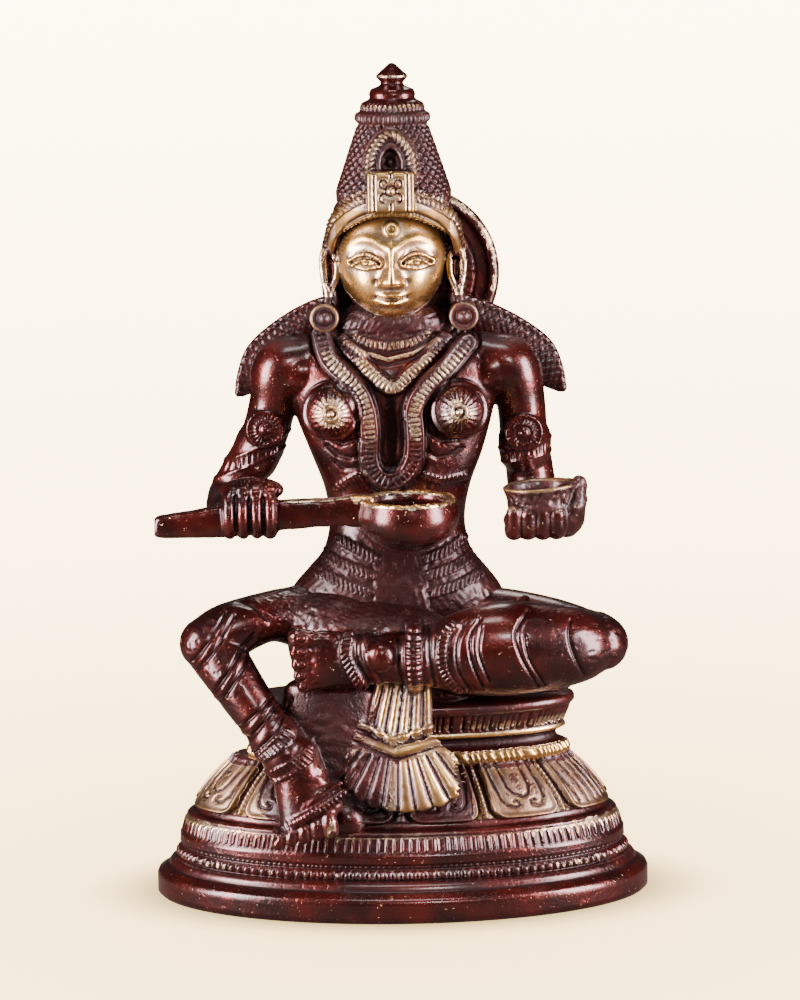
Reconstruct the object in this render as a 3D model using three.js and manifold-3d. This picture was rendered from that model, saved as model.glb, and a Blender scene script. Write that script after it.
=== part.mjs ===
// A small cast brass figure of a seated goddess with a ladle and a pot, in one casting with its
// lotus plinth. Millimetres, +Z up. She faces -Y, her right hand is on the -X side, and the origin
// is under the plinth's centre.
import * as THREE from "three";
import { mergeVertices } from "three/addons/utils/BufferGeometryUtils.js";
import Module from "manifold-3d";

const wasm = await Module();
wasm.setup();

// Plinth: an oval whose mouldings step in by the same amount all round
const PLINTH_LENGTH = 98.6;
const PLINTH_DEPTH = 54;
const PLATE_THICKNESS = 5;
const BEAD_COURSE_HEIGHT = 4.6;
const BEAD_COURSE_INSET = 4.2;
const RIBBED_COURSE_HEIGHT = 6;
const RIBBED_COURSE_INSET = 5.8;
const LOTUS_HEIGHT = 12;
const LOTUS_INSET = 7.4;
const LOTUS_TAPER = 8.6;
const PETAL_COUNT = 12;
const PETAL_RELIEF = 1.8;
const PETAL_GROOVE_SHARE = 0.45;
const COLUMNS_TO_A_PETAL = 5;

// Seat: a waisted cushion between two rings
const SEAT_HEIGHT = 12.4;
const SEAT_HALF_LENGTH = 32.8;
const SEAT_HALF_DEPTH = 12.5;
const SEAT_WAIST_INSET = 3.4;
const SEAT_SHIFT_X = 1.5;

// Figure: laid out in 125 parts of its height above the seat
const FIGURE_HEIGHT = 125;
const FIGURE_PARTS = 125;

// Ladle, pot and the disc behind the head
const LADLE_RADIUS = 9.8;
const LADLE_WALL = 2.2;
const LADLE_DEPTH = 10.2;
const LADLE_HANDLE_LENGTH = 49.1;
const LADLE_HANDLE_THICKNESS = 4.2;
const LADLE_HANDLE_DROP = 2.3;
const LADLE_HANDLE_FALL = 2.2;
const LADLE_HANDLE_SWAY = 1.6;
const POT_RADIUS = 6.9;
const POT_WALL = 1;
const POT_DEPTH = 6.2;
const BOWL_SIDES = 14;
const DISC_RADIUS = 17.4;
const DISC_THICKNESS = 2.6;
const DISC_SIDES = 18;
const PLEAT_COUNT = 9;

// Facets' shortest edge after joining
const SHORTEST_EDGE = 0.3;

// Heights and half lengths worked out from the sizes above
const HALF_LENGTH = PLINTH_LENGTH / 2;
const OVAL_DIFFERENCE = (PLINTH_LENGTH - PLINTH_DEPTH) / 2;
const BEAD_BASE = PLATE_THICKNESS;
const RIBBED_BASE = BEAD_BASE + BEAD_COURSE_HEIGHT;
const LOTUS_BASE = RIBBED_BASE + RIBBED_COURSE_HEIGHT;
const SEAT_BASE = LOTUS_BASE + LOTUS_HEIGHT;
const SEAT_TOP = SEAT_BASE + SEAT_HEIGHT;
const LOTUS_HALF_LENGTH = HALF_LENGTH - LOTUS_INSET;
const LOTUS_FRONT = LOTUS_HALF_LENGTH - OVAL_DIFFERENCE;
const PART = FIGURE_HEIGHT / FIGURE_PARTS;

const TAU = Math.PI * 2;
const { cos, sin, abs, exp, sqrt, min, max, PI } = Math;
const mix = (a, b, t) => a + (b - a) * t;
const clamp01 = (t) => min(1, max(0, t));
const smooth = (a, b, x) => {
  const t = clamp01((x - a) / (b - a));
  return t * t * (3 - 2 * t);
};
const vec = (x, y, z) => new THREE.Vector3(x, y, z);

// A point of the figure, from parts of its height above the seat.
const figure = (x, y, z) => vec(x * PART, y * PART, SEAT_TOP + z * PART);

// A closed skin over rings of points, each ring round and both ends closed to their middles.
function skin(rings) {
  const count = rings[0].length;
  const points = rings.flat();
  const faces = [];
  for (let i = 0; i + 1 < rings.length; i++) {
    for (let j = 0; j < count; j++) {
      const a = i * count + j;
      const b = i * count + ((j + 1) % count);
      faces.push([a, b, b + count], [a, b + count, a + count]);
    }
  }
  const last = (rings.length - 1) * count;
  const lowCentre = points.push(middle(rings[0])) - 1;
  const highCentre = points.push(middle(rings.at(-1))) - 1;
  for (let j = 0; j < count; j++) {
    const next = (j + 1) % count;
    faces.push([lowCentre, next, j], [highCentre, last + j, last + next]);
  }
  return solid(points, faces);
}

const middle = (ring) => new THREE.Box3().setFromPoints(ring).getCenter(vec(0, 0, 0));

// A solid from points and triangles, turned to face outwards.
function solid(points, faces) {
  const sixths = ([a, b, c]) => points[a].dot(points[b].clone().cross(points[c]));
  const volume = faces.reduce((sum, face) => sum + sixths(face), 0);
  const geometry = new THREE.BufferGeometry().setFromPoints(points);
  geometry.setIndex((volume < 0 ? faces.map(([a, b, c]) => [a, c, b]) : faces).flat());
  const merged = mergeVertices(geometry, 1e-4);
  const vertProperties = merged.attributes.position.array;
  const triVerts = new Uint32Array(merged.index.array);
  return new wasm.Manifold(new wasm.Mesh({ numProp: 3, vertProperties, triVerts }));
}

// Angles that part an ellipse into stretches of equal length, starting at +X.
function evenAngles(halfLength, halfDepth, count) {
  const fine = count * 16;
  const speed = (angle) => Math.hypot(halfLength * sin(angle), halfDepth * cos(angle));
  const run = [0];
  for (let k = 0; k < fine; k++) {
    run.push(run[k] + speed(((k + 0.5) * TAU) / fine));
  }
  const angles = [];
  let j = 0;
  for (let k = 0; k < count; k++) {
    const goal = (run[fine] * k) / count;
    while (run[j + 1] < goal) {
      j++;
    }
    angles.push(((j + (goal - run[j]) / (run[j + 1] - run[j])) * TAU) / fine);
  }
  return angles;
}

// An oval moulding. Its profile rows are [half length, height, relief share], and relief(share of
// the way round) stands proud of it.
function oval(profile, { difference, shiftX = 0, count, relief = () => 0 }) {
  const widest = max(...profile.map((row) => row[0]));
  const angles = evenAngles(widest, widest - difference, count);
  return skin(
    profile.map(([half, z, share = 0]) =>
      angles.map((angle, k) => {
        const proud = share * relief(k / count);
        const length = half + proud;
        const depth = half - difference + proud;
        return vec(shiftX + length * cos(angle), depth * sin(angle), z);
      }),
    ),
  );
}

// A smooth path through stations that start with x, y and z.
const pathThrough = (stations, place) =>
  new THREE.CatmullRomCurve3(stations.map(([x, y, z]) => place(x, y, z)), false, "centripetal");

// A limb: a smooth path through stations [x, y, z, radius, flatness], with round ends.
function limb(stations, { sides, steps, up = [0, 0, 1], ends = 1, place = figure }) {
  const curve = pathThrough(stations, place);
  const sizes = stations.map(([, , , radius, flatness = 1]) => vec(radius, radius * flatness, 0));
  const radii = new THREE.CatmullRomCurve3(sizes, false, "catmullrom");
  const ring = (t, grow, slide) => {
    const centre = curve.getPoint(t);
    const along = curve.getTangent(t);
    const side = vec(...up).projectOnPlane(along).normalize();
    const across = along.clone().cross(side);
    const size = radii.getPoint(t).multiplyScalar(PART);
    centre.addScaledVector(along, slide * min(size.x, size.y));
    return Array.from({ length: sides }, (_, k) =>
      centre
        .clone()
        .addScaledVector(side, size.x * grow * cos((k * TAU) / sides))
        .addScaledVector(across, size.y * grow * sin((k * TAU) / sides)),
    );
  };
  const rounding = Array.from({ length: ends }, (_, k) => ((k + 0.4) / ends) * (PI / 2));
  return skin([
    ...rounding.map((angle) => ring(0, sin(angle), -cos(angle))),
    ...Array.from({ length: steps + 1 }, (_, k) => ring(k / steps, 1, 0)),
    ...rounding.reverse().map((angle) => ring(1, sin(angle), cos(angle))),
  ]);
}

// A row of like fingers or toes: the first one's path is carried sideways by a step, with a groove
// between neighbours.
function digits(path, { step, count, radius, steps = 4, place = figure }) {
  const curve = pathThrough(path, place);
  const [sideways, thick] = [vec(...step).multiplyScalar(PART), radius * PART];
  const ring = (t, share, ahead) => {
    const along = curve.getTangent(t);
    const out = along.clone().cross(sideways).normalize();
    const point = (across, height) =>
      curve
        .getPoint(t)
        .addScaledVector(along, ahead * thick)
        .addScaledVector(sideways, across)
        .addScaledVector(out, height * thick);
    const height = (j) => share * (j % 2 ? 1 : 0.3);
    const front = Array.from({ length: 2 * count + 1 }, (_, j) => point(j / 2 - 0.5, height(j)));
    return [...front, point(count - 0.5, -0.8 * share), point(-0.5, -0.8 * share)];
  };
  const rings = Array.from({ length: steps + 1 }, (_, k) => ring(k / steps, 1, 0));
  return skin([...rings, ring(1, 0.5, 0.7)]);
}

// A stack of level ovals [x, y, z, half width, half depth front, half depth back] of the figure.
function stack(rows, sides) {
  return skin(
    rows.map(([x, y, z, half, front, back = front]) =>
      Array.from({ length: sides }, (_, k) => {
        const angle = (k * TAU) / sides;
        const depth = sin(angle) < 0 ? front : back;
        return figure(x + half * cos(angle), y + depth * sin(angle), z);
      }),
    ),
  );
}

// An egg of the figure with its own half sizes.
function egg([x, y, z], [halfX, halfY, halfZ], sides, rows = 6) {
  const polars = Array.from({ length: rows - 1 }, (_, k) => ((k + 1) * PI) / rows);
  const row = (polar) => [x, y, z - halfZ * cos(polar), halfX * sin(polar), halfY * sin(polar)];
  return stack(polars.map(row), sides);
}

// The oval plinth: plate, beaded course, ribbed course and a ring of petals.
function plinth() {
  const beadHalf = HALF_LENGTH - BEAD_COURSE_INSET;
  const ribHalf = HALF_LENGTH - RIBBED_COURSE_INSET;
  const petalHalf = (t) => LOTUS_HALF_LENGTH - LOTUS_TAPER * t ** 1.6;
  const petalRow = (t, tuck, share) => [petalHalf(t) - tuck, LOTUS_BASE + LOTUS_HEIGHT * t, share];
  const profile = [
    [HALF_LENGTH, 0],
    [HALF_LENGTH, 0.8 * PLATE_THICKNESS],
    [HALF_LENGTH - 1.2, PLATE_THICKNESS],
    [beadHalf - 1, BEAD_BASE + 0.2 * BEAD_COURSE_HEIGHT],
    [beadHalf, BEAD_BASE + 0.5 * BEAD_COURSE_HEIGHT],
    [beadHalf - 1, RIBBED_BASE],
    [ribHalf, RIBBED_BASE + 0.25 * RIBBED_COURSE_HEIGHT],
    [ribHalf - 0.2, RIBBED_BASE + 0.75 * RIBBED_COURSE_HEIGHT],
    petalRow(0, 2, 0),
    petalRow(0.1, 0.2, 1),
    petalRow(0.5, 0, 1),
    petalRow(1, 0, 0.5),
  ];
  const petal = (t) => PETAL_RELIEF * (min(1, 2.6 * abs(sin(t * PETAL_COUNT * PI))) - PETAL_GROOVE_SHARE);
  const count = PETAL_COUNT * COLUMNS_TO_A_PETAL;
  return oval(profile, { difference: OVAL_DIFFERENCE, count, relief: petal });
}

// The waisted seat with a ring above and below the waist.
function seat() {
  const [ring, waist] = [SEAT_HALF_LENGTH, SEAT_HALF_LENGTH - SEAT_WAIST_INSET];
  const profile = [
    [waist, -0.06],
    [ring, 0.06],
    [ring, 0.18],
    [waist, 0.28],
    [waist, 0.48],
    [ring, 0.6],
    [ring, 0.8],
    [ring + 0.4, 0.88],
    [ring, 1],
  ];
  return oval(profile.map(([half, share]) => [half, SEAT_BASE + share * SEAT_HEIGHT]), {
    difference: SEAT_HALF_LENGTH - SEAT_HALF_DEPTH,
    shiftX: SEAT_SHIFT_X,
    count: 24,
  });
}

// Trunk and neck in level ovals, with a belt at the hips and a choker, and the bosom.
function trunk() {
  const body = stack([
    [-0.4, 1.5, -0.5, 18, 10, 9.6],
    [-0.4, 1.5, 8, 21.6, 11, 10.4],
    [-0.4, 1, 20.5, 21.2, 10.8, 9.6],
    [-0.2, 0.7, 26, 17.2, 9.8, 8.6],
    [-0.1, 0.4, 29, 14.8, 9, 8],
    [0, 0, 35, 13.4, 8, 7],
    [0.1, 0, 42, 14.4, 8, 7.4],
    [0.1, 0.4, 49, 17, 8.2, 8],
    [-0.3, 0.8, 57, 19.6, 8.6, 8.2],
    [-0.4, 1.6, 66, 21.6, 8.4, 7],
    [-0.4, 2, 69.6, 19, 7.2, 6],
    [-0.4, 1.8, 72, 10.4, 7, 6.6],
    [-0.4, 1.6, 73.6, 8.2, 6.4, 6.4],
    [-0.4, 1.4, 79, 7.4, 6, 6.6],
  ], 14);
  const bosom = [-12.5, 12.4].map((x) => egg([x, -6.8, 58], [6.3, 6.4, 6.4], 9));
  return [body, ...bosom];
}

// Forward relief of a calm, evenly proportioned face, in parts, x across and z above the seat.
function faceRelief(x, z) {
  const bump = (cx, cz, wide, tall) => exp(-(((x - cx) / wide) ** 2) - ((z - cz) / tall) ** 2);
  const pair = (cx, cz, wide, tall) => bump(cx, cz, wide, tall) + bump(-cx, cz, wide, tall);
  const bridge = smooth(81.9, 83.6, z) * (1 - smooth(88.5, 92.5, z)) * mix(3.1, 0.9, clamp01((z - 83.4) / 7));
  const nose = bridge * exp(-((x / 1.6) ** 2)) + 0.9 * pair(1.9, 83.4, 0.9, 0.8);
  const eyes = 0.9 * pair(4.9, 87.6, 2.4, 1.2) - 1.1 * pair(4.6, 88.4, 3.2, 2.2);
  const lips = 1.3 * bump(0, 79.7, 3, 1.3);
  return nose + eyes + lips + 0.7 * bump(0, 76.4, 2.6, 1.6);
}

// The head, with its columns closer together across the face, and the ears with round earrings.
function head() {
  const [halfWidth, front, back, halfHeight, centre] = [11, 10.2, 10.4, 13.6, 88];
  const [columns, rows] = [18, 13];
  const ring = (polar) =>
    Array.from({ length: columns }, (_, k) => {
      const turn = (k / columns) * TAU;
      const angle = turn - 0.5 * sin(turn);
      const x = halfWidth * sin(polar) * sin(angle);
      const z = centre - halfHeight * cos(polar);
      const ahead = cos(angle);
      const relief = ahead > 0 ? faceRelief(x, z) * ahead : 0;
      return figure(x - 0.4, 0.4 - (ahead > 0 ? front : back) * sin(polar) * ahead - relief, z);
    });
  const skull = skin(Array.from({ length: rows - 1 }, (_, i) => ring(((i + 1) / rows) * PI)));
  const ear = (side) => {
    const lobe = [[side * 11, 0, 91, 1.6], [side * 12.4, -0.6, 86, 1.7], [side * 12.6, -1.4, 79, 1.2]];
    const ring = [[side * 13.6, 2, 76, 3], [side * 13.6, -3.2, 76, 3]];
    return [limb(lobe, { sides: 5, steps: 3 }), limb(ring, { sides: 9, steps: 1 })];
  };
  return [skull, ...ear(-1), ...ear(1)];
}

// Tall conical crown with a ring and a bud on top, leaning back a little, and the diadem over the brow.
function crown() {
  const profile = [
    [12.2, 90], [12.8, 95], [11.6, 100], [8.9, 107.5], [7, 113], [7.5, 114.4], [6.8, 116.6], [4.9, 118],
    [4.2, 119.6], [2.1, 120.8], [3.1, 122.2], [0.5, 125],
  ];
  const lean = (z) => 0.4 + 0.09 * (z - 90);
  const cone = stack(profile.map(([r, z]) => [0.3, lean(z), z, r, 0.9 * r]), 12);
  const diadem = limb(
    [
      [-12.6, 0, 89, 2.6, 0.5], [-10.8, -5, 95, 2.6, 0.5], [-5, -9.6, 99, 2.6, 0.5], [0, -10.4, 99.6, 2.6, 0.5],
      [5, -9.6, 98.8, 2.6, 0.5], [11.4, -5, 94.6, 2.6, 0.5], [13, 0, 88.6, 2.6, 0.5],
    ],
    { sides: 6, steps: 9 },
  );
  const plaque = stack([[-0.3, -9.6, 97.4, 4.7, 2.2, 3], [-0.3, -8.2, 104.8, 4.5, 2, 3]], 8);
  const arch = limb(
    [
      [-5, -8.2, 104.5, 1], [-4.6, -7.6, 108, 1], [-2.4, -7, 111, 1], [-0.2, -6.6, 112, 1.1], [2, -7, 111, 1],
      [4.2, -7.6, 108, 1], [4.6, -8.2, 104.5, 1],
    ],
    { sides: 5, steps: 7 },
  );
  return [cone, diadem, plaque, arch];
}

// Round disc behind the head with a thick rim, and the stem that joins it to the hair.
function disc() {
  const centre = figure(3.7, 11.6, 82.8);
  const half = DISC_THICKNESS / 2;
  const ring = ([radius, behind]) =>
    Array.from({ length: DISC_SIDES }, (_, k) => {
      const angle = (k * TAU) / DISC_SIDES;
      return centre.clone().add(vec(radius * cos(angle), behind, radius * sin(angle)));
    });
  const profile = [
    [DISC_RADIUS - 3, -half * 0.5],
    [DISC_RADIUS - 1, -half],
    [DISC_RADIUS, 0],
    [DISC_RADIUS - 1, half],
  ];
  const stem = limb([[0, 6, 84, 5], [1.5, 11.6, 84, 4.4]], { sides: 8, steps: 1 });
  return [skin(profile.map(ring)), stem];
}

// Hair spread over the upper back, with a flat lock behind each shoulder that ends outside the arm.
function shoulderHair() {
  const path = [
    [8, 4, 75.6, 3.4], [16, 5.6, 72.6, 4.2], [23, 5.4, 68.2, 4.2], [27.4, 4.6, 63.6, 3.8], [28.8, 4, 61, 2.6],
  ];
  const lock = (side, outer) => {
    const stations = path.map(([x, y, z, r]) => [side * (x + outer * smooth(9, 28, x)), y, z, r, 0.45]);
    return limb(stations, { sides: 6, steps: 5, up: [side * 0.5, 0, 1] });
  };
  const back = egg([0, 6, 68], [19, 3.4, 8.5], 12);
  return [back, lock(-1, 0), lock(1, 2.2)];
}

// Arms with their armlets: her right holds the ladle, her left the pot.
function arms() {
  const right = limb(
    [
      [-17, 2, 67.2, 5.6], [-22.2, 1.8, 65.2, 6], [-24, 2.2, 59, 4.9], [-25.6, 3, 52, 4.9],
      [-29.2, 4.2, 45, 4.6], [-32.8, 3.6, 39.4, 4.6], [-33, -3, 38.4, 4.3], [-30.6, -13, 41.4, 3.7],
    ],
    { sides: 7, steps: 9, up: [0.3, 1, 0.2] },
  );
  const left = limb(
    [
      [17, 2, 67.2, 5.6], [22.6, 1.8, 65, 6], [24.6, 2.2, 59, 4.8], [25.4, 3, 51, 4.8], [26, 4, 44.6, 4.6],
      [26.2, 3, 39.8, 4.6], [26.8, -4, 38.2, 4], [27.4, -13, 38.6, 3.8],
    ],
    { sides: 7, steps: 9, up: [-0.3, 1, 0.2] },
  );
  const armlet = (x, y, z, slope) => {
    const stations = [[x - slope, y - 0.2, z - 1.2, 5.6], [x + slope, y, z + 1.2, 5.6]];
    return limb(stations, { sides: 7, steps: 1, up: [0, 1, 0] });
  };
  const medallion = (x, z) => limb([[x, -1.2, z, 3.4], [x, -3.4, z, 3.2]], { sides: 8, steps: 1 });
  const armlets = [armlet(-26.4, 3.2, 50.4, 0.5), armlet(25.5, 3.2, 49.8, 0)];
  return [right, left, ...armlets, medallion(-26, 54.8), medallion(25.2, 54.6)];
}

// Fist round the ladle's handle.
function fist() {
  const palm = egg([-28.4, -15.4, 41], [5.2, 4, 4.4], 8);
  const outermost = [[-32.3, -15, 44.2], [-32.3, -19.4, 43.8], [-32.3, -20.8, 40.4], [-32.3, -18.8, 36.8]];
  const fingers = digits(outermost, { step: [2.65, 0, 0], count: 4, radius: 1.6 });
  const thumb = limb([[-24, -13.6, 42, 1.6], [-23.2, -17, 38, 1.5], [-25, -19, 36, 1.3]], {
    sides: 5, steps: 2,
  });
  return [palm, fingers, thumb];
}

// The hand under the pot.
function openHand() {
  const palm = egg([27.6, -16, 38.4], [6, 5.4, 3.8], 8);
  const outermost = [[29, -15, 37.4], [29, -21, 36.5], [29, -23.8, 37.8], [29, -24.8, 41]];
  const fingers = digits(outermost, { step: [-3.2, 0, 0], count: 4, radius: 1.8 });
  const thumb = limb([[32, -12.5, 39, 2], [34.8, -15.5, 42.6, 1.8], [34.4, -18.6, 45, 1.5]], {
    sides: 5, steps: 3,
  });
  return [palm, fingers, thumb];
}

// A round body or hollow about a centre, given as rows of [radius, height above the centre].
function turned(centre, rows, sides) {
  return skin(
    rows.map(([radius, z]) =>
      Array.from({ length: sides }, (_, k) => {
        const angle = (k * TAU) / sides;
        return centre.clone().add(vec(radius * cos(angle), radius * sin(angle), z));
      }),
    ),
  );
}

// Ladle with its flat handle, and the hollow of its bowl.
function ladle() {
  const centre = figure(2.3, -17.4, 42.6);
  const rim = 0.9 * LADLE_RADIUS;
  const bowl = turned(centre, [
    [0.3 * LADLE_RADIUS, -LADLE_DEPTH],
    [0.72 * LADLE_RADIUS, -0.8 * LADLE_DEPTH],
    [LADLE_RADIUS, -0.35 * LADLE_DEPTH],
    [rim, 0],
  ], BOWL_SIDES);
  const inside = rim - LADLE_WALL;
  const deep = LADLE_DEPTH - LADLE_WALL;
  const hollowRows = [[0.5 * inside, -deep], [inside, -0.5 * deep], [inside, LADLE_WALL]];
  const hollow = turned(centre, hollowRows, BOWL_SIDES);
  const start = centre.x - rim + LADLE_WALL;
  const reach = LADLE_HANDLE_LENGTH - rim + LADLE_WALL;
  const section = [[-1, -0.6], [-0.6, -1], [0.6, -1], [1, -0.6], [1, 0.6], [0.6, 1], [-0.6, 1], [-1, 0.6]];
  const grip = ([t, height, share]) =>
    section.map(([a, b]) =>
      vec(
        start - reach * t,
        centre.y - LADLE_HANDLE_SWAY * t + (a * share * LADLE_HANDLE_THICKNESS) / 2,
        centre.z - LADLE_HANDLE_DROP - LADLE_HANDLE_FALL * t + (b * height) / 2,
      ),
    );
  const rows = [[0, 5.4, 1], [0.13, 5.4, 1], [0.16, 4.7, 0.9], [0.72, 5.7, 1], [0.98, 3.8, 0.85], [1, 3, 0.6]];
  return { bodies: [bowl, skin(rows.map(grip))], hollow };
}

// Small pot in her left hand, and its hollow.
function pot() {
  const centre = figure(27.6, -20.2, 45.4);
  const body = turned(centre, [
    [0.7 * POT_RADIUS, -POT_DEPTH - POT_WALL],
    [0.88 * POT_RADIUS, -0.5 * POT_DEPTH],
    [0.92 * POT_RADIUS, -0.2 * POT_DEPTH],
    [POT_RADIUS, 0],
  ], BOWL_SIDES);
  const inside = POT_RADIUS - POT_WALL;
  const hollow = turned(centre, [
    [0.5 * inside, -POT_DEPTH],
    [0.88 * inside, -0.6 * POT_DEPTH],
    [0.9 * inside, -0.2 * POT_DEPTH],
    [inside, 0],
    [inside, POT_WALL],
  ], BOWL_SIDES);
  return { bodies: [body], hollow };
}

// A flat band laid along a path.
const band = (path, wide, proud, steps) =>
  limb(path.map(([x, y, z]) => [x, y, z, proud, wide / proud]), { sides: 5, steps, up: [0, 1, 0] });

// Long looped garland and pointed necklace.
function necklaces() {
  const garland = [
    [-13.4, -3, 72], [-12, -5.6, 68.2], [-9.2, -7.8, 65], [-6.9, -8.6, 61.6], [-5.6, -9, 57],
    [-5.4, -8.8, 51], [-4.7, -8.6, 46.8], [-1.2, -8.6, 44.4], [2.2, -8.6, 46.8], [3.2, -8.8, 51],
    [3.3, -9, 57], [5.4, -8.6, 62.4], [9.3, -7.8, 66.4], [12.4, -5.6, 69.4], [13.8, -3, 72.2],
  ];
  const pointed = [[-8.6, -2.6, 72.4], [-5, -6.2, 67], [-1, -7.4, 62.6], [3.4, -6.2, 67], [8, -2.6, 72.4]];
  return [band(garland, 1.9, 1.6, 14), band(pointed, 1.5, 1.3, 4)];
}

// Her left leg, folded across the seat with the foot before her.
function foldedLeg() {
  const thigh = limb(
    [[6, 0.5, 11, 10, 0.85], [18, -1, 11, 10.2, 0.85], [31, -4.5, 10.8, 9, 0.85], [39, -7, 10.6, 6]],
    { sides: 10, steps: 4 },
  );
  const shin = limb(
    [
      [41, -9, 11.2, 4], [38, -10, 11.2, 6.2], [31, -11.8, 11.4, 8.1], [21, -13.6, 11.4, 9, 0.85],
      [11, -15, 11, 7.6, 0.8], [3, -16.4, 10.6, 5.2, 0.85], [-4, -16.6, 10.6, 4.8, 0.9],
      [-9, -17, 10.6, 5.5, 0.65], [-15.4, -17.2, 10.8, 6.1, 0.45],
    ],
    { sides: 9, steps: 9, ends: 2 },
  );
  const bigToe = [[-13.4, -18.7, 15.4], [-20, -18, 15.8]];
  const toes = digits(bigToe, { step: [0.25, 0, -2.5], count: 5, radius: 1.6, steps: 2 });
  const anklet = (x, r, bow) =>
    limb(
      [
        [x, -13.4, 10.2 + r, 1.1], [x - bow, -17.4, 10.2 + 0.8 * r, 1.1], [x - 1.4 * bow, -20.4, 10.2, 1.1],
        [x - bow, -17.4, 10.2 - 0.8 * r, 1.1], [x, -13.4, 10.2 - r, 1.1],
      ],
      { sides: 5, steps: 5, up: [1, 0, 0] },
    );
  const lap = egg([-5, -6, 13.5], [17, 9, 7], 12);
  return [thigh, shin, toes, anklet(-8.6, 5.4, -1.6), anklet(2.6, 5.4, 0.6), lap];
}

// Her right leg, which hangs over the seat with its foot on the lotus, and the rough web behind it.
function hangingLeg() {
  const front = -LOTUS_FRONT;
  const knee = figure(-37, -9.6, 12.6);
  const ankle = vec(-21, front + 0.4, LOTUS_BASE + 14.6);
  const at = (t, side, y, radius) => {
    const point = knee.clone().lerp(ankle, t);
    return [point.x + side, point.y + y, point.z, radius];
  };
  const low = (x, y, z, radius, flat) => [x, front + y, LOTUS_BASE + z, radius, flat];
  const thigh = limb(
    [
      [-6, 1, 15, 8], [-17, -1.5, 16, 6.9], [-26, -5, 16.9, 4.9, 1.3], [-34, -8.4, 14.6, 5.7],
      [-38, -9.6, 12.8, 5.2],
    ],
    { sides: 10, steps: 6, ends: 2 },
  );
  const shin = limb(
    [at(0, 0.4, 0, 5.8), at(0.25, 0, -0.8, 5.2), at(0.55, 0, -0.8, 4.6), at(0.8, 0, 0, 4.2), at(1, 0.4, 0, 4)],
    { sides: 10, steps: 5, up: [1, 0, 0], place: vec },
  );
  const foot = limb(
    [low(-20.6, 0.6, 16, 4.8, 0.9), low(-19.2, -1, 10.6, 5.6, 0.7), low(-17.4, -3.4, 5.8, 6.6, 0.4)],
    { sides: 9, steps: 3, up: [0.9, 0, 0.4], place: vec },
  );
  const littleToe = [low(-22.4, -4, 4.4), low(-23, -5.2, 0.8)];
  const toes = digits(littleToe, { step: [2.75, 0, 1.3], count: 5, radius: 1.7, steps: 2, place: vec });
  const anklet = (t) => {
    const [x, y, z] = at(t, 0.2, 0, 1);
    const stations = [[x - 0.7, y - 0.2, z + 0.8, 4.8], [x + 0.7, y + 0.2, z - 0.8, 4.8]];
    return limb(stations, { sides: 10, steps: 1, up: [1, 0, 0], place: vec });
  };
  const strap = limb([low(-24.8, -3, 4, 1.2), low(-20, -6, 6.4, 1.3), low(-12.4, -5, 10, 1.2)], {
    sides: 5, steps: 4, place: vec,
  });
  const web = limb(
    [
      [-14.4, front + 3, LOTUS_BASE + 5, 5], [-15, front + 4, LOTUS_BASE + 13, 7],
      [-15.4, front + 6, SEAT_BASE + 8, 7.6], [-15, front + 8, SEAT_TOP + 3 * PART, 6],
    ],
    { sides: 8, steps: 3, up: [1, 0, 0], place: vec },
  );
  return [thigh, shin, foot, toes, anklet(0.82), anklet(0.97), strap, web];
}

// Pleated end of her garment, which hangs from the lap and spreads in a fan over the petals.
function fan() {
  const topY = 5 - LOTUS_FRONT;
  const rows = [
    [0, -1.5, 4.4, 0, 0, 0.3],
    [0.34, -1.3, 6, 1.6, 0.4, 0.3],
    [0.42, -1, 7.2, 3, 1.6, 0],
    [0.52, -0.6, 8.6, 3.2, 1.4, 0],
    [0.6, 0.2, 10.4, 3.8, 2, 0.35],
    [0.82, 0.4, 12, 5.6, 4.6, 0.35],
    [0.97, 0.2, 9.4, 6.2, 5.6, 0.35],
  ];
  const columns = 2 * PLEAT_COUNT;
  const [low, high] = [LOTUS_BASE + 6.8, SEAT_TOP + 2.6 * PART];
  const ring = ([t, x, half, forward, sag, pleat]) => {
    const point = (across, behind) => {
      const dip = sag * (sqrt(max(0, 1 - across * across)) - 0.4);
      const y = topY - forward + 1.6 * across * across + behind;
      return vec(x + half * across, y, mix(high, low, t) - dip);
    };
    const fold = (k) => (k % 2 ? -pleat : pleat);
    const front = Array.from({ length: columns + 1 }, (_, k) => point((2 * k) / columns - 1, fold(k)));
    return [...front, point(1, 4.5), point(-1, 4.5)];
  };
  return skin(rows.map(ring));
}

// The whole casting, joined, with the ladle and the pot hollowed.
function casting() {
  const { bodies: ladleBodies, hollow: ladleHollow } = ladle();
  const { bodies: potBodies, hollow: potHollow } = pot();
  const all = [
    plinth(), seat(), ...trunk(), ...head(), ...crown(), ...disc(), ...shoulderHair(), ...arms(), ...fist(),
    ...openHand(), ...necklaces(), ...foldedLeg(), ...hangingLeg(), fan(), ...ladleBodies, ...potBodies,
  ];
  const joined = all.reduce((whole, piece) => whole.add(piece));
  return joined.subtract(ladleHollow).subtract(potHollow);
}

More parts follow.
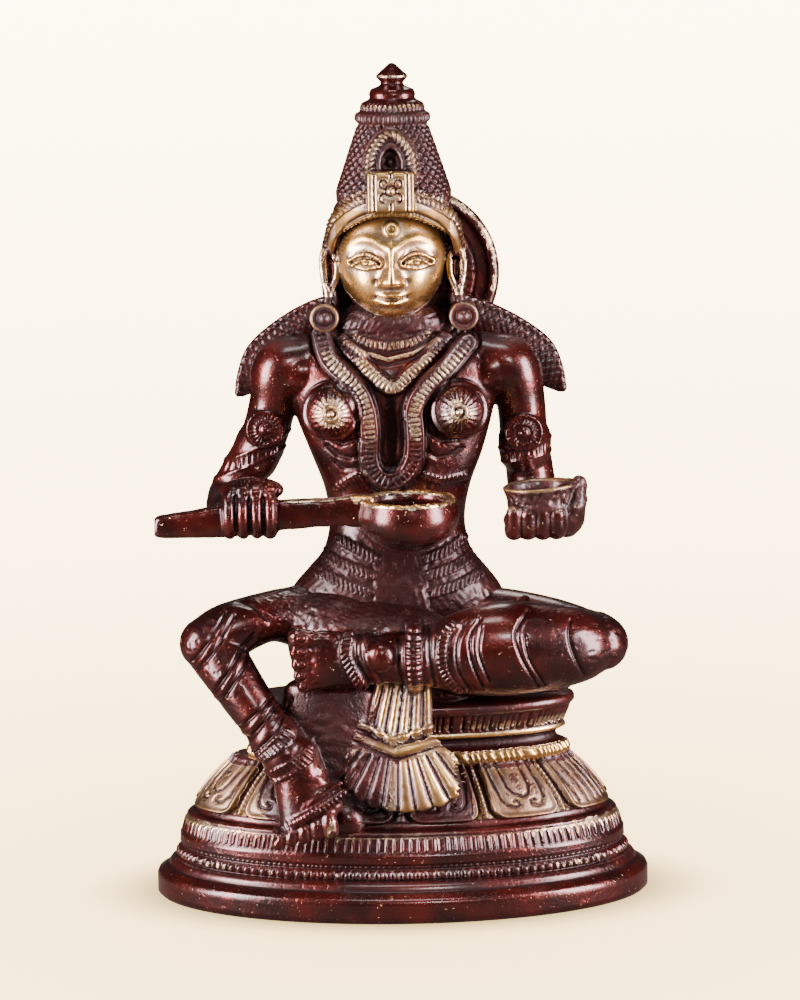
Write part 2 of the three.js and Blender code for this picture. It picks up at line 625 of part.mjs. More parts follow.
// Draws together the ends of the very short edges that joining leaves, wherever the skin stays whole.
function drawTogether({ vertProperties, triVerts }, shortest) {
  const three = (list, i) => Array.from(list.slice(3 * i, 3 * i + 3));
  const gap = (p, q) => vec(...three(vertProperties, p)).distanceTo(vec(...three(vertProperties, q)));
  const edgesOf = ([a, b, c]) => [[a, b], [b, c], [c, a]];
  const count = vertProperties.length / 3;
  let faces = Array.from({ length: triVerts.length / 3 }, (_, i) => three(triVerts, i));
  let into;
  do {
    const around = Array.from({ length: count }, () => new Set());
    for (const [p, q] of faces.flatMap(edgesOf)) {
      around[p].add(q);
      around[q].add(p);
    }
    into = new Map();
    const settled = new Set();
    for (const [p, q] of faces.flatMap(edgesOf).filter(([p, q]) => p < q && gap(p, q) < shortest)) {
      const shared = [...around[p]].filter((i) => around[q].has(i));
      if (shared.length === 2 && !settled.has(p) && !settled.has(q)) {
        into.set(q, p);
        [p, q, ...around[p], ...around[q]].forEach((i) => settled.add(i));
      }
    }
    faces = faces.map((face) => face.map((i) => into.get(i) ?? i)).filter((face) => new Set(face).size === 3);
  } while (into.size);
  const geometry = new THREE.BufferGeometry();
  geometry.setAttribute("position", new THREE.BufferAttribute(vertProperties, 3));
  geometry.setIndex(faces.flat());
  return geometry;
}

const geometry = drawTogether(casting().getMesh(), SHORTEST_EDGE);
geometry.computeVertexNormals();

const darkBrass = new THREE.MeshStandardMaterial({ color: 0x4a1c14, roughness: 0.32, metalness: 0.85 });
const statue = new THREE.Mesh(geometry, darkBrass);
statue.name = "goddess_on_lotus_plinth";

const part = new THREE.Group();
part.add(statue);

export default part;
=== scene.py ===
import bpy
import numpy as np
from functools import partial
from mathutils import Matrix, Quaternion, Vector


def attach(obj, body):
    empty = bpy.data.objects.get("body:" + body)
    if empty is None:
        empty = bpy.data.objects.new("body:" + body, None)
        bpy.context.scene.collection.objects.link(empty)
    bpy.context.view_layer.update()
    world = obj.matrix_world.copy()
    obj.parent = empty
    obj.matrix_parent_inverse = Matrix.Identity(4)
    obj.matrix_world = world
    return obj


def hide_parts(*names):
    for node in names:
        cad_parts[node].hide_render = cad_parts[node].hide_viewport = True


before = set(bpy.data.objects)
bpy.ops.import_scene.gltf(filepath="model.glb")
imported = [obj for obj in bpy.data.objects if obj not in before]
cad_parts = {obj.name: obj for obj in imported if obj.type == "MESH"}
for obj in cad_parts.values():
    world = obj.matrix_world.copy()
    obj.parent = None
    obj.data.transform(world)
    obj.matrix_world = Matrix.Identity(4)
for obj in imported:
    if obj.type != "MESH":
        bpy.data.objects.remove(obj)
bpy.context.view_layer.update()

# Camera, light and table
# The figure stands on a pale table, seen from a little above by a long lens, with a soft light on
# each side and weaker ones above, in front and behind.
MM = 0.001
TAU = 2 * np.pi
CAMERA_PLACE = (0.0, -700.0, 205.0)
CAMERA_DROP, CAMERA_TURN, CAMERA_ROLL = np.radians([10.2, -0.05, -0.9])
MIDDLE = (0, 0, 85)
EVEN = {"interpolation_type": "SMOOTHSTEP"}
COLOUR = {"data_type": "RGBA"}
PLUS, TIMES, MOST, TIMES_PLUS = (
    {"operation": name} for name in ("ADD", "MULTIPLY", "MAXIMUM", "MULTIPLY_ADD")
)


def linear(colour):
    """An sRGB hex colour as linear red, green, blue and full alpha."""
    parts = np.array([int(colour[i : i + 2], 16) for i in (1, 3, 5)]) / 255
    return (*np.where(parts <= 0.04045, parts / 12.92, ((parts + 0.055) / 1.055) ** 2.4), 1.0)


def add_node(tree, kind, inputs=(), output=0, **settings):
    """One of the outputs of a new node of a kind, with its settings, and its inputs, in order or by
    name, set to a value or linked to a socket."""
    node = tree.nodes.new("ShaderNode" + kind)
    for key, value in settings.items():
        setattr(node, key, value)
    for key, value in inputs.items() if isinstance(inputs, dict) else enumerate(inputs):
        if isinstance(value, bpy.types.NodeSocket):
            tree.links.new(value, node.inputs[key])
        else:
            node.inputs[key].default_value = value
    return node.outputs[output]


def add_object(name, data, place=(0, 0, 0), turn=Quaternion()):
    """An object in the scene, at a place in millimetres and turned."""
    thing = bpy.data.objects.new(name, data)
    thing.location = Vector(place) * MM
    thing.rotation_euler = turn.to_euler()
    bpy.context.scene.collection.objects.link(thing)
    return thing


camera_data = bpy.data.cameras.new("camera")
camera_data.sensor_width, camera_data.lens = 36, 129.5
camera_data.clip_start, camera_data.clip_end = 0.05, 60
camera_turn = Matrix.Rotation(CAMERA_TURN, 3, "Z") @ Matrix.Rotation(np.pi / 2 - CAMERA_DROP, 3, "X")
camera_turn = (camera_turn @ Matrix.Rotation(CAMERA_ROLL, 3, "Z")).to_quaternion()
bpy.context.scene.camera = add_object("camera", camera_data, CAMERA_PLACE, camera_turn)
for name, place, width, height, power, colour in (
    ("softbox_left", (-250, -140, 130), 110, 250, 4.2, "#fff0f4"),
    ("softbox_right", (255, -135, 130), 105, 250, 3.9, "#ffeef4"),
    ("softbox_above", (0, -160, 620), 200, 100, 1.1, "#ffffff"),
    ("softbox_front", (120, -700, 470), 70, 50, 1.6, "#ffffff"),
    ("softbox_behind", (60, 480, 560), 200, 160, 1.0, "#fff6f0"),
):
    light = bpy.data.lights.new(name, "AREA")
    light.shape = "RECTANGLE"
    light.size, light.size_y = width * MM, height * MM
    light.energy, light.color = power, linear(colour)[:3]
    add_object(name, light, place, (Vector(MIDDLE) - Vector(place)).to_track_quat("-Z", "Y"))
world = bpy.data.worlds.new("studio")
world.use_nodes = True
world.node_tree.nodes["Background"].inputs["Color"].default_value = linear("#e8e4e6")
world.node_tree.nodes["Background"].inputs["Strength"].default_value = 0.06
bpy.context.scene.world = world

# The table glows evenly for the camera alone, so it stays pale, and is a dim matt plane for the metal.
# It pales with the distance from the plinth and carries a soft painted shadow right under it.
TABLE_NEAR = (4.9, 3.25, 1.2, 1.0)
TABLE_FAR = (13.0, 10.2, 6.6, 1.0)
PALING_REACH = 0.4
table_material = bpy.data.materials.new("matt_cream_table")
table_material.use_nodes = True
tree = table_material.node_tree
table_shader = tree.nodes["Principled BSDF"]
table_shader.inputs["Base Color"].default_value = linear("#5a5048")
table_shader.inputs["Roughness"].default_value = 0.9
node = partial(add_node, tree)
place = node("TexCoord", output="Object")
away = node("VectorMath", (place,), "Value", operation="LENGTH")
pallor = node("Math", (away, node("Math", (away, PALING_REACH), **PLUS)), operation="DIVIDE")
tint = node("Mix", {0: pallor, 6: TABLE_NEAR, 7: TABLE_FAR}, 2, **COLOUR)
# Painted soft shadow: the table's glow dims inside an oval round the plinth.
painted_shadow_oval = node(
    "VectorMath", (node("VectorMath", (place, (1.0, 1.8, 0.0)), **TIMES),), "Value", operation="LENGTH",
)
glow = node("Emission", (tint, node("MapRange", (painted_shadow_oval, 0.044, 0.068, 0.25, 1.0), **EVEN)))
table_look = node("MixShader", (node("LightPath", output="Is Camera Ray"), table_shader.outputs[0], glow))
tree.links.new(table_look, tree.nodes["Material Output"].inputs["Surface"])
table_mesh = bpy.data.meshes.new("table")
table_mesh.from_pydata([(-20, -4, 0), (20, -4, 0), (20, 30, 0), (-20, 30, 0)], [], [(0, 1, 2, 3)])
table_mesh.materials.append(table_material)
add_object("table", table_mesh)

# Metal of the whole casting
# Brass, sand cast and filed, then coated in a red-brown antique lacquer and rubbed back. The high
# places shine as bare brass, the grooves stay nearly black, places given painted shade darken
# the same way, and the low places keep a dull bloom.
# Its patterns are in millimetres. Pits and grain are drawn coarser than real ones, so that they show.
LACQUER_DARK, LACQUER_RED, BLOOM, GROOVE_AND_SHADE_DARK = map(linear, ("#280907", "#54140c", "#2c1615", "#1a0706"))
BRASS_BRIGHT, BRASS_WARM, BRASS_GOLD = map(linear, ("#d6bc98", "#ba926a", "#dcae66"))
BRASS_DULL, BRASS_BROWN = map(linear, ("#6b5146", "#3a221b"))
TONE_SIZE, MOTTLE_SIZE, SPECK_SIZE, GRAIN_SIZE, PIT_SPACING = 7.0, 1.8, 0.9, 0.5, 1.1

metal = bpy.data.materials.new("brown_lacquered_cast_brass")
metal.use_nodes = True
tree = metal.node_tree
node = partial(add_node, tree)
place = node("TexCoord", output="Object")
rub, groove_and_shade, dull = (
    node("Attribute", output="Fac", attribute_name=name) for name in ("rub", "groove_and_shade", "dull")
)
tone, mottle, specks, grain = (
    node("TexNoise", {"Vector": place, "Scale": 1 / (size * MM), "Detail": detail})
    for size, detail in ((TONE_SIZE, 3.0), (MOTTLE_SIZE, 4.0), (SPECK_SIZE, 2.0), (GRAIN_SIZE, 4.0))
)
lacquer = node(
    "Mix", {0: node("MapRange", (tone, 0.3, 0.75), **EVEN), 6: LACQUER_DARK, 7: LACQUER_RED}, 2, **COLOUR,
)
dust = node("Math", (dull, node("MapRange", (mottle, 0.3, 0.62, 0.45, 1.0), **EVEN)), **TIMES)
bloomed = node("Mix", {0: dust, 6: lacquer, 7: BLOOM}, 2, **COLOUR)
pale = node(
    "Mix", {0: node("MapRange", (tone, 0.4, 0.7), **EVEN), 6: BRASS_BRIGHT, 7: BRASS_WARM}, 2, **COLOUR,
)
bright = node("Mix", {0: node("MapRange", (rub, 0.9, 1.0), **EVEN), 6: pale, 7: BRASS_GOLD}, 2, **COLOUR)
brown = node("MapRange", (mottle, 0.42, 0.68), **EVEN)
tarnish = node("Mix", {0: brown, 6: BRASS_DULL, 7: BRASS_BROWN}, 2, **COLOUR)
brass = node("Mix", {0: dull, 6: bright, 7: tarnish}, 2, **COLOUR)
uneven_rub = node("Math", (rub, node("MapRange", (mottle, 0.25, 0.75, -0.2, 0.2), **EVEN)), **PLUS)
speckled = node("MapRange", (specks, 0.68, 0.76, 0.0, 0.45), **EVEN)
worn = node("Math", (node("MapRange", (uneven_rub, 0.3, 0.6), **EVEN), speckled), **MOST)
bare = node("Mix", {0: worn, 6: bloomed, 7: brass}, 2, **COLOUR)
# The near black of patina in the grooves, also used for painted shade.
colour = node("Mix", {0: node("Math", (groove_and_shade, 0.85), **TIMES), 6: bare, 7: GROOVE_AND_SHADE_DARK}, 2, **COLOUR)
metallic = node("Math", (dull, -0.3, node("Math", (worn, 0.7), **PLUS)), **TIMES_PLUS)
metallic = node("MapRange", (metallic, 0.0, 1.0), **EVEN)
matt = node("MapRange", (node("Math", (dull, groove_and_shade), **MOST), 0.0, 1.0, 0.28, 0.46), **EVEN)
matt = node("Math", (matt, node("MapRange", (grain, 0.3, 0.7, -0.02, 0.04), **EVEN)), **PLUS)
lost = node("Math", (node("Math", (worn, dull), **MOST), 0.4), **TIMES)
lost = node("Math", (groove_and_shade, 0.5, lost), **TIMES_PLUS)
coat = node("Math", (node("Math", (0.75, lost), operation="SUBTRACT"), 0.05), **MOST)
pits = node("TexVoronoi", {"Vector": place, "Scale": 1 / (PIT_SPACING * MM)}, "Distance", feature="SMOOTH_F1")
pits = node("MapRange", (pits, 0.0, 0.35), **EVEN)
swells = node("Math", (pits, 0.3, node("Math", (mottle, 0.75), **TIMES)), **TIMES_PLUS)
sand = node("Math", (grain, node("Math", (dull, 0.75, 0.12), **TIMES_PLUS)), **TIMES)
polish = node("MapRange", (worn, 0.0, 1.0, 1.0, 0.2), **EVEN)
skin_height = node("Math", (node("Math", (sand, swells), **PLUS), polish), **TIMES)
rough_cast = node("Bump", {"Strength": 0.8, "Distance": 0.0003, "Height": skin_height})
shader = tree.nodes["Principled BSDF"]
shader.inputs["Coat Roughness"].default_value = 0.2
for name, value in (
    ("Base Color", colour), ("Metallic", metallic), ("Roughness", matt), ("Coat Weight", coat),
    ("Normal", rough_cast),
):
    tree.links.new(value, shader.inputs[name])

# Oval plinth
# The foot of the casting: a flat foot plate, a quarter round, a row of beads with a finer row over
# it, and a ribbed band, all cast with the figure and filed smooth at the edge.
HALF_LENGTH = 49.3
HALF_DEPTH = 27.0
OVAL_DIFFERENCE = HALF_LENGTH - HALF_DEPTH
BEADS = 132
COLUMNS = 8 * BEADS


def smooth(a, b, x):
    """An even step: 0 below a, 1 above b, and 3t squared less 2t cubed between them."""
    t = np.clip((x - a) / (b - a), 0, 1)
    return t * t * (3 - 2 * t)


def window(x, a, b, c, d):
    """An even step up from a to b and down again from c to d."""
    return smooth(a, b, x) * smooth(d, c, x)


def hump(x, wide):
    """A bell: e to the minus of x over wide squared."""
    return np.exp(-((x / wide) ** 2))


def notched(t, power=0.7):
    """Cuts at each whole t: 1 less the size of the sine of pi t, to a power."""
    return 1 - np.abs(np.sin(np.pi * t)) ** power


def even_angles(half_length, half_depth, count):
    """Angles that part an ellipse into equal lengths: the run round it is summed, then inverted."""
    fine = np.linspace(0, TAU, 8 * count + 1)
    middle = (fine[1:] + fine[:-1]) / 2
    speed = np.hypot(half_length * np.sin(middle), half_depth * np.cos(middle))
    run = np.concatenate([[0], np.cumsum(speed)])
    return np.interp(np.arange(count) / count * run[-1], run, fine)


def wobble(around, size, waves):
    """Unevenness of hand work: sines round the oval, each of a count and a start."""
    return size * sum(np.sin(TAU * count * around + start) for count, start in waves)


def fill(profile, steps):
    """Rows between the corners of a profile, a number of steps to each stretch."""
    profile = np.array(profile, float)
    shares = [np.linspace(0, 1, n, endpoint=False)[:, None] for n in steps]
    rows = [a + (b - a) * t for a, b, t in zip(profile, profile[1:], shares)]
    return np.concatenate([*rows, profile[-1:]])


def skin(rings):
    """A closed skin over rings of points (rows, columns, 3), with a fan to the middle of each end,
    turned to face outwards. Returns its points and its triangles."""
    rows, columns = rings.shape[:2]
    points = np.concatenate(
        [rings.reshape(-1, 3), [(ring.min(0) + ring.max(0)) / 2 for ring in (rings[0], rings[-1])]]
    )
    k = np.arange(columns)
    a = np.arange((rows - 1) * columns)
    b = a - a % columns + (a + 1) % columns
    low, high, last = rows * columns, rows * columns + 1, (rows - 1) * columns
    corners = [(a, b, b + columns), (a, b + columns, a + columns)]
    corners += [(low + 0 * k, (k + 1) % columns, k), (high + 0 * k, last + k, last + (k + 1) % columns)]
    faces = np.concatenate([np.stack(three, -1) for three in corners])
    a, b, c = (points[faces[:, k]] for k in range(3))
    inside_out = np.einsum("ij,ij->i", a, np.cross(b, c)).sum() < 0
    return points, faces[:, ::-1] if inside_out else faces


def oval_skin(half, z, proud, angles, shift_x=0.0, difference=OVAL_DIFFERENCE):
    """An oval moulding: the ellipse of each row, pushed out by its relief."""
    length = half[:, None] + proud
    across, ahead = shift_x + length * np.cos(angles), (length - difference) * np.sin(angles)
    return skin(np.stack([across, ahead, np.broadcast_to(z[:, None], proud.shape)], -1))


def new_mesh(name, points, faces):
    """A mesh from points in millimetres and triangles."""
    mesh = bpy.data.meshes.new(name)
    mesh.vertices.add(len(points))
    mesh.vertices.foreach_set("co", (points * MM).astype(np.float32).ravel())
    mesh.loops.add(3 * len(faces))
    mesh.loops.foreach_set("vertex_index", faces.astype(np.int32).ravel())
    mesh.polygons.add(len(faces))
    mesh.polygons.foreach_set("loop_start", np.arange(0, 3 * len(faces), 3, dtype=np.int32))
    mesh.polygons.foreach_set("use_smooth", np.ones(len(faces), bool))
    mesh.update(calc_edges=True)
    mesh.validate()
    return mesh


def vertex_normals(points, faces):
    """Unit normals: each face's cross product summed at its corners."""
    a, b, c = (points[faces[:, k]] for k in range(3))
    cross = np.cross(b - a, c - a)
    total = [sum(np.bincount(faces[:, k], cross[:, d], len(points)) for k in range(3)) for d in range(3)]
    total = np.stack(total, -1)
    return total / np.maximum(np.linalg.norm(total, axis=1, keepdims=True), 1e-12)


def edges_of(faces):
    """Each edge of the triangles once."""
    pairs = np.sort(np.concatenate([faces[:, [0, 1]], faces[:, [1, 2]], faces[:, [2, 0]]]), axis=1)
    code = np.unique(pairs[:, 0].astype(np.int64) * (pairs.max() + 1) + pairs[:, 1])
    return np.stack([code // (pairs.max() + 1), code % (pairs.max() + 1)], -1)


def spread(points, edges, rounds, share=0.5):
    """Points drawn a share of the way to the mean of their neighbours, a number of times over."""
    count = len(points)
    a, b = edges.T
    degree = np.maximum(np.bincount(a, minlength=count) + np.bincount(b, minlength=count), 1)
    points = points.copy()
    for _ in range(rounds):
        for column in points.T:
            mean = (np.bincount(a, column[b], count) + np.bincount(b, column[a], count)) / degree
            column += share * (mean - column)
    return points


def wear_and_painted_shade(points, faces, favour, bloom, shade=0.0):
    """How far each point is rubbed bare, dark as in a groove or with painted shade, or dull with bloom, from
    0 to 1.
    A point's height over its own smoothed surroundings says whether it is proud or sunk."""
    edges = edges_of(faces)
    normals = vertex_normals(points, faces)
    near = spread(points, edges, 6, 0.6)
    fine = np.einsum("ij,ij->i", points - near, normals)
    coarse = np.einsum("ij,ij->i", near - spread(near, edges, 40, 0.7), normals)
    proud = smooth(0.0, 0.06, fine) * 0.7 + smooth(-0.02, 0.25, coarse) * 0.6
    rub = np.clip(favour * (0.35 + proud) + 0.15 * smooth(0.02, 0.1, fine), 0, 1)
    # Patina dark in the hollows, plus the painted shade passed in.
    groove_and_shade = np.clip(smooth(0.012, 0.07, -fine) + smooth(0.2, 0.8, -coarse) * 0.25 + shade, 0, 1)
    dull = np.clip(smooth(0.05, 0.4, -coarse) * 0.4 + bloom, 0, 1)
    return {"rub": rub, "groove_and_shade": groove_and_shade, "dull": dull * (1 - 0.6 * groove_and_shade)}


def add_piece(name, points, faces, most, *marks):
    """A finished piece of the casting: its mesh, how it has weathered and where shade is painted on it,
    its metal and the node it stands for. Its flattest triangles are merged until no more than the most
    are left."""
    mesh = new_mesh(name, points, faces)
    for key, values in wear_and_painted_shade(points, faces, *marks).items():
        mesh.attributes.new(key, "FLOAT", "POINT").data.foreach_set("value", values.astype(np.float32))
    mesh.materials.append(metal)
    piece = add_object(name, mesh)
    if len(faces) > most:
        piece.modifiers.new("thinning", "DECIMATE").ratio = most / len(faces)
        piece.data = bpy.data.meshes.new_from_object(
            piece.evaluated_get(bpy.context.evaluated_depsgraph_get())
        )
        piece.modifiers.clear()
        bpy.data.meshes.remove(mesh)
        piece.data.name = name
    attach(piece, "root")
    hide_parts("goddess_on_lotus_plinth")


plinth_angles = even_angles(HALF_LENGTH, HALF_DEPTH, COLUMNS)
around = (np.arange(COLUMNS) + 0.5) / COLUMNS
base_rows = fill(
    [
        (40.0, 0.0), (48.7, 0.0), (49.3, 0.6), (49.3, 4.1), (49.0, 4.8), (48.2, 5.3), (46.9, 6.1),
        (46.8, 6.6), (46.4, 7.15), (45.7, 7.5), (44.6, 7.6), (44.5, 9.55), (44.1, 9.7), (44.2, 10.5),
        (44.6, 10.7), (44.5, 12.5), (44.0, 12.9), (43.2, 15.7), (42.9, 15.9), (43.1, 16.25),
        (42.8, 16.6), (42.0, 16.8), (41.0, 17.1), (40.6, 18.2), (30.0, 18.4),
    ],
    [1, 2, 4, 2, 2, 3, 1, 2, 2, 2, 10, 1, 4, 1, 4, 1, 10, 1, 2, 2, 2, 2, 2, 1],
)
half, z = base_rows[:, :1], base_rows[:, 1:]
beat = BEADS * around + wobble(around, 0.12, ((7, 0.4), (13, 2.1), (23, 4.0), (31, 1.3)))
bead = (
    np.sqrt(np.clip(1 - ((z - 8.58) / 0.92) ** 2, 0, 1))
    * np.sqrt(np.clip(1 - (2 * (beat % 1) - 1) ** 2, 0, 1))
)
fine_bead = hump(z - 10.12, 0.28) * np.abs(np.sin(np.pi * 1.5 * beat))
rib = hump((beat + 0.35) % 1 - 0.5, 0.13) - 0.6 * hump((beat + 0.62) % 1 - 0.5, 0.1)
proud = 0.95 * bead + 0.22 * fine_bead + 0.3 * window(z, 12.8, 13.3, 15.2, 15.8) * rib
points, faces = oval_skin(half[:, 0], z[:, 0], proud, plinth_angles)
x, y, z = points.T
favour = 0.66 * window(z, 13.4, 15.4, 15.8, 16.2) + 0.2 * hump(z - 8.6, 1.0) + 0.2 * hump(z - 16.3, 0.3)
favour *= 0.35 + 0.65 * smooth(22, 42, np.abs(x + 2))
bloom = 0.35 * window(z, 5.0, 7.5, 10, 12) + 0.35 * smooth(13, 15, z)
add_piece("plinth_base", points, faces, 92000, favour, bloom)

# Lotus petals
# Twelve broad petals round the plinth, parted by narrow notched strips, each cast with a raised edge
# and an engraved double scroll, or flutes on the last. Those in front, under the cloth, stay unrubbed
# and carry a painted shade from it.
PETALS = 12
LOTUS_BASE = 15.6
LOTUS_HEIGHT = 12.0
LOTUS_HALF_LENGTH = 41.9
LOTUS_TAPER = 8.6
PETAL_FOOT = 18.1
PETAL_TOP = 27.9
PETAL_CORNER = 2.2
HOOK = [(4.3, 6.5), (4.2, 3.9), (3.5, 2.7), (2.3, 2.3), (1.2, 2.7), (1.3, 3.5), (2.0, 3.6)]
INNER_STROKE = [(2.1, 6.8), (1.5, 5.2), (0.3, 4.5)]


def to_line(x, y, line):
    """Distance of points (x, y) from a bent line of corners, how far along it they lie, and how far
    to its left: each stretch's nearest point is found by projection, and the nearest stretch counts."""
    best, along, left = np.full(np.shape(x), 1e9), np.zeros(np.shape(x)), np.zeros(np.shape(x))
    start = 0.0
    for (x0, y0), (x1, y1) in zip(line, line[1:]):
        length = max(np.hypot(x1 - x0, y1 - y0), 1e-9)
        u, v = (x1 - x0) / length, (y1 - y0) / length
        t = np.clip((x - x0) * u + (y - y0) * v, 0, length)
        distance = np.hypot(x - x0 - t * u, y - y0 - t * v)
        closer = distance < best
        best = np.where(closer, distance, best)
        along = np.where(closer, start + t, along)
        left = np.where(closer, (y - y0) * u - (x - x0) * v, left)
        start += length
    return best, along, left


lotus_z = np.concatenate([[17.0, 17.4, 17.8], np.linspace(18.0, PETAL_TOP, 44)])
taper = LOTUS_TAPER * np.clip((lotus_z - LOTUS_BASE) / LOTUS_HEIGHT, 0, 1) ** 1.6
lotus_half = LOTUS_HALF_LENGTH - taper - 0.9 * smooth(18.0, 17.6, lotus_z)
run = np.concatenate([[0], np.cumsum(np.hypot(np.diff(lotus_half), np.diff(lotus_z)))])
rise = run - np.interp(PETAL_FOOT, lotus_z, run)
a, b = lotus_half[:, None], lotus_half[:, None] - OVAL_DIFFERENCE
pitch = np.pi * (3 * (a + b) - np.sqrt((3 * a + b) * (a + 3 * b))) / PETALS
turn = PETALS * around
across = (turn % 1 - 0.5) * pitch
up = np.broadcast_to(rise[:, None], across.shape)
petal_wide = (pitch - np.interp(rise, [0, 1.5, 4, 14], [3.4, 2.7, 2.3, 1.9])[:, None]) / 2
out_x, out_y = np.abs(across) - petal_wide + PETAL_CORNER, PETAL_CORNER - up
inside = np.hypot(np.maximum(out_x, 0), np.maximum(out_y, 0)) + np.minimum(np.maximum(out_x, out_y), 0)
inside = PETAL_CORNER - inside
body = smooth(0, 0.35, inside)
carving = np.zeros(across.shape)
for x, line, wide in ((3.9, HOOK, 0.34), (2.1, INNER_STROKE, 0.36)):
    for side in (-1, 1):
        distance = to_line(across * side, up, [(x, rise[-1]), *line])[0]
        carving = np.minimum(carving, -0.5 * hump(distance, wide))
flutes = -0.45 * hump((across / 2.1 + 0.5) % 1 - 0.5, 0.13) * smooth(1.2, 2.0, up)
carving = np.where(np.floor(turn) == PETALS - 1, flutes, carving)
strip = hump(np.abs(across) - pitch / 2, 0.62)
proud = body * (1.0 + carving + 0.5 * np.clip(1 - (across / petal_wide) ** 2, 0, 1))
proud += (
    0.28 * hump(inside - 0.55, 0.32) - 0.16 * smooth(0.9, 1.4, inside) - 0.5 * hump(inside + 0.25, 0.3) - 0.55
)
proud += (0.65 - 0.35 * notched(up / 0.95)) * strip * smooth(-0.1, -0.35, inside) * smooth(0.2, 0.5, up)
proud += 0.03 * np.sin(3.1 * across + 5 * np.floor(turn)) * hump(up - 7, 3) * hump(across, 2.5)
lid_z = PETAL_TOP + 0.1
rows = np.array([(28.0, 17.0), *zip(lotus_half, lotus_z), (lotus_half[-1] - 1.5, lid_z), (20.0, lid_z)])
points, faces = oval_skin(*rows.T, np.pad(proud, ((1, 2), (0, 0))), plinth_angles)
cut = np.clip(-1.3 * carving, 0, 1) * body + 0.8 * hump(inside + 0.2, 0.3) + 0.8 * (1 - body) * (1 - strip)
cut = np.append(np.pad(cut, ((1, 2), (0, 0))), [0, 0])
x, y, z = points.T
unrubbed_and_shaded = smooth(0, -8, y) * window(x, -30, -25, 13, 15.5)
favour = (
    (0.92 - 0.1 * smooth(0, 25, x)) * window(z, PETAL_FOOT, PETAL_FOOT + 0.5, 26.2, 27.4)
    * (1 - 0.95 * unrubbed_and_shaded)
)
bloom = 0.8 + 0.06 * smooth(-10, 25, x) + 0.14 * np.sin(x / 5) * smooth(18, 26, z)
# The petals under the cloth and the hanging foot get painted shade.
add_piece("lotus_petals", points, faces, 84000, favour, bloom, cut + 0.25 * unrubbed_and_shaded)

# Waisted seat
# A low cushion on the lotus, cast with it: a slab, a notched band with a bright lip, a waist and a
# notched ring.
SEAT_TOP = 40.0
SEAT_SHIFT_X = 1.5
SEAT_DIFFERENCE = 20.3
SEAT_NOTCHES = 100

seat_rows = fill(
    [
        (24.0, 27.2), (31.2, 27.2), (31.9, 27.9), (32.3, 28.8), (31.8, 30.0), (30.9, 30.4), (29.9, 30.9),
        (29.5, 31.7), (29.8, 32.5), (30.8, 32.8), (31.5, 33.2), (31.4, 33.7), (31.1, 34.0), (31.6, 35.2),
        (32.2, 36.6), (32.6, 37.8),
        (32.9, 38.0), (33.3, 38.5), (33.3, 39.3), (33.0, 39.8), (32.3, SEAT_TOP), (24.0, SEAT_TOP),
    ],
    [1, 3, 3, 4, 2, 2, 3, 3, 2, 2, 2, 2, 4, 4, 4, 1, 2, 3, 2, 2, 1],
)
half, z = seat_rows[:, :1], seat_rows[:, 1:]
around = (np.arange(8 * SEAT_NOTCHES) + 0.5) / (8 * SEAT_NOTCHES)
uneven = wobble(around, 0.3, ((5, 1.0), (11, 3.0), (19, 0.2)))
slit = hump((SEAT_NOTCHES * around + uneven) % 1 - 0.5, 0.12)
rope = notched(SEAT_NOTCHES * around + 1.2 * uneven + (z - 29) / TAU, 0.6)
proud = (
    -0.6 * window(z, 34.1, 34.6, 37.4, 37.8) * slit + 0.8 * window(z, 27.7, 28.2, 29.8, 30.3) * (0.25 - rope)
)
seat_angles = even_angles(32.8, 12.5, 8 * SEAT_NOTCHES)
points, faces = oval_skin(half[:, 0], z[:, 0], proud, seat_angles, SEAT_SHIFT_X, SEAT_DIFFERENCE)
x, y, z = points.T
favour = (
    1.3 * smooth(30.4, 29.9, z) + 1.1 * window(z, 32.7, 33.0, 34.0, 34.6)
    + 0.75 * window(z, 34.2, 34.6, 35.2, 36.8)
)
favour *= 0.6 + 0.4 * smooth(12, 26, np.abs(x))
bloom = 0.35 * window(z, 30.2, 31, 32.2, 32.8) + 0.4 * smooth(34, 36, z) + 0.2 * smooth(30.4, 29.9, z)
add_piece("waisted_seat", points, faces, 52000, favour, bloom)

# Legs, sash and web
# Her left leg is folded across the seat and her right one hangs over it, with the pleated end of
# her garment between them. All of it is cast as one skin, so its parts melt into each other.
# From here on, heights are from the seat's top.
LEG_CELL = 0.3
LOTUS_FRONT_Y = -19.6
SASH_PLEATS = 6
KNEE = np.array([-37, -9.6, 12.6])
ANKLE = np.array([-21, -19.2, -9.8])
FOOT = np.array([0, LOTUS_FRONT_Y, LOTUS_BASE - SEAT_TOP])


def turns(sides):
    """Even turns round a circle, as a row."""
    return np.linspace(0, TAU, sides, endpoint=False)[None]


def through(stations, steps):
    """Rows of a smooth path through stations: cubics whose slopes come from the neighbouring
    chords, each weighed by the square root of its length."""
    rows = np.array(stations, float)
    rows = np.concatenate([[2 * rows[0] - rows[1]], rows, [2 * rows[-1] - rows[-2]]])
    gap = np.linalg.norm(np.diff(rows[:, :3], axis=0), axis=1) ** 0.5
    a, b, c, d = rows[:-3], rows[1:-2], rows[2:-1], rows[3:]
    g, h, k = gap[:-2, None], gap[1:-1, None], gap[2:, None]
    slope_b = ((b - a) / g - (c - a) / (g + h) + (c - b) / h) * h
    slope_c = ((c - b) / h - (d - b) / (h + k) + (d - c) / k) * h
    t = (np.arange(steps) / steps)[None, :, None]
    b, c, slope_b, slope_c = (v[:, None] for v in (b, c, slope_b, slope_c))
    curve = (2 * t**3 - 3 * t**2 + 1) * b + (t**3 - 2 * t**2 + t) * slope_b
    curve = curve + (3 * t**2 - 2 * t**3) * c + (t**3 - t**2) * slope_c
    return np.concatenate([curve.reshape(-1, rows.shape[1]), rows[-2:-1]])


def seen(stations, steps=3):
    """A smooth line through stations, as it looks from the front: its x and z."""
    return through([station[:3] for station in stations], steps)[:, [0, 2]]


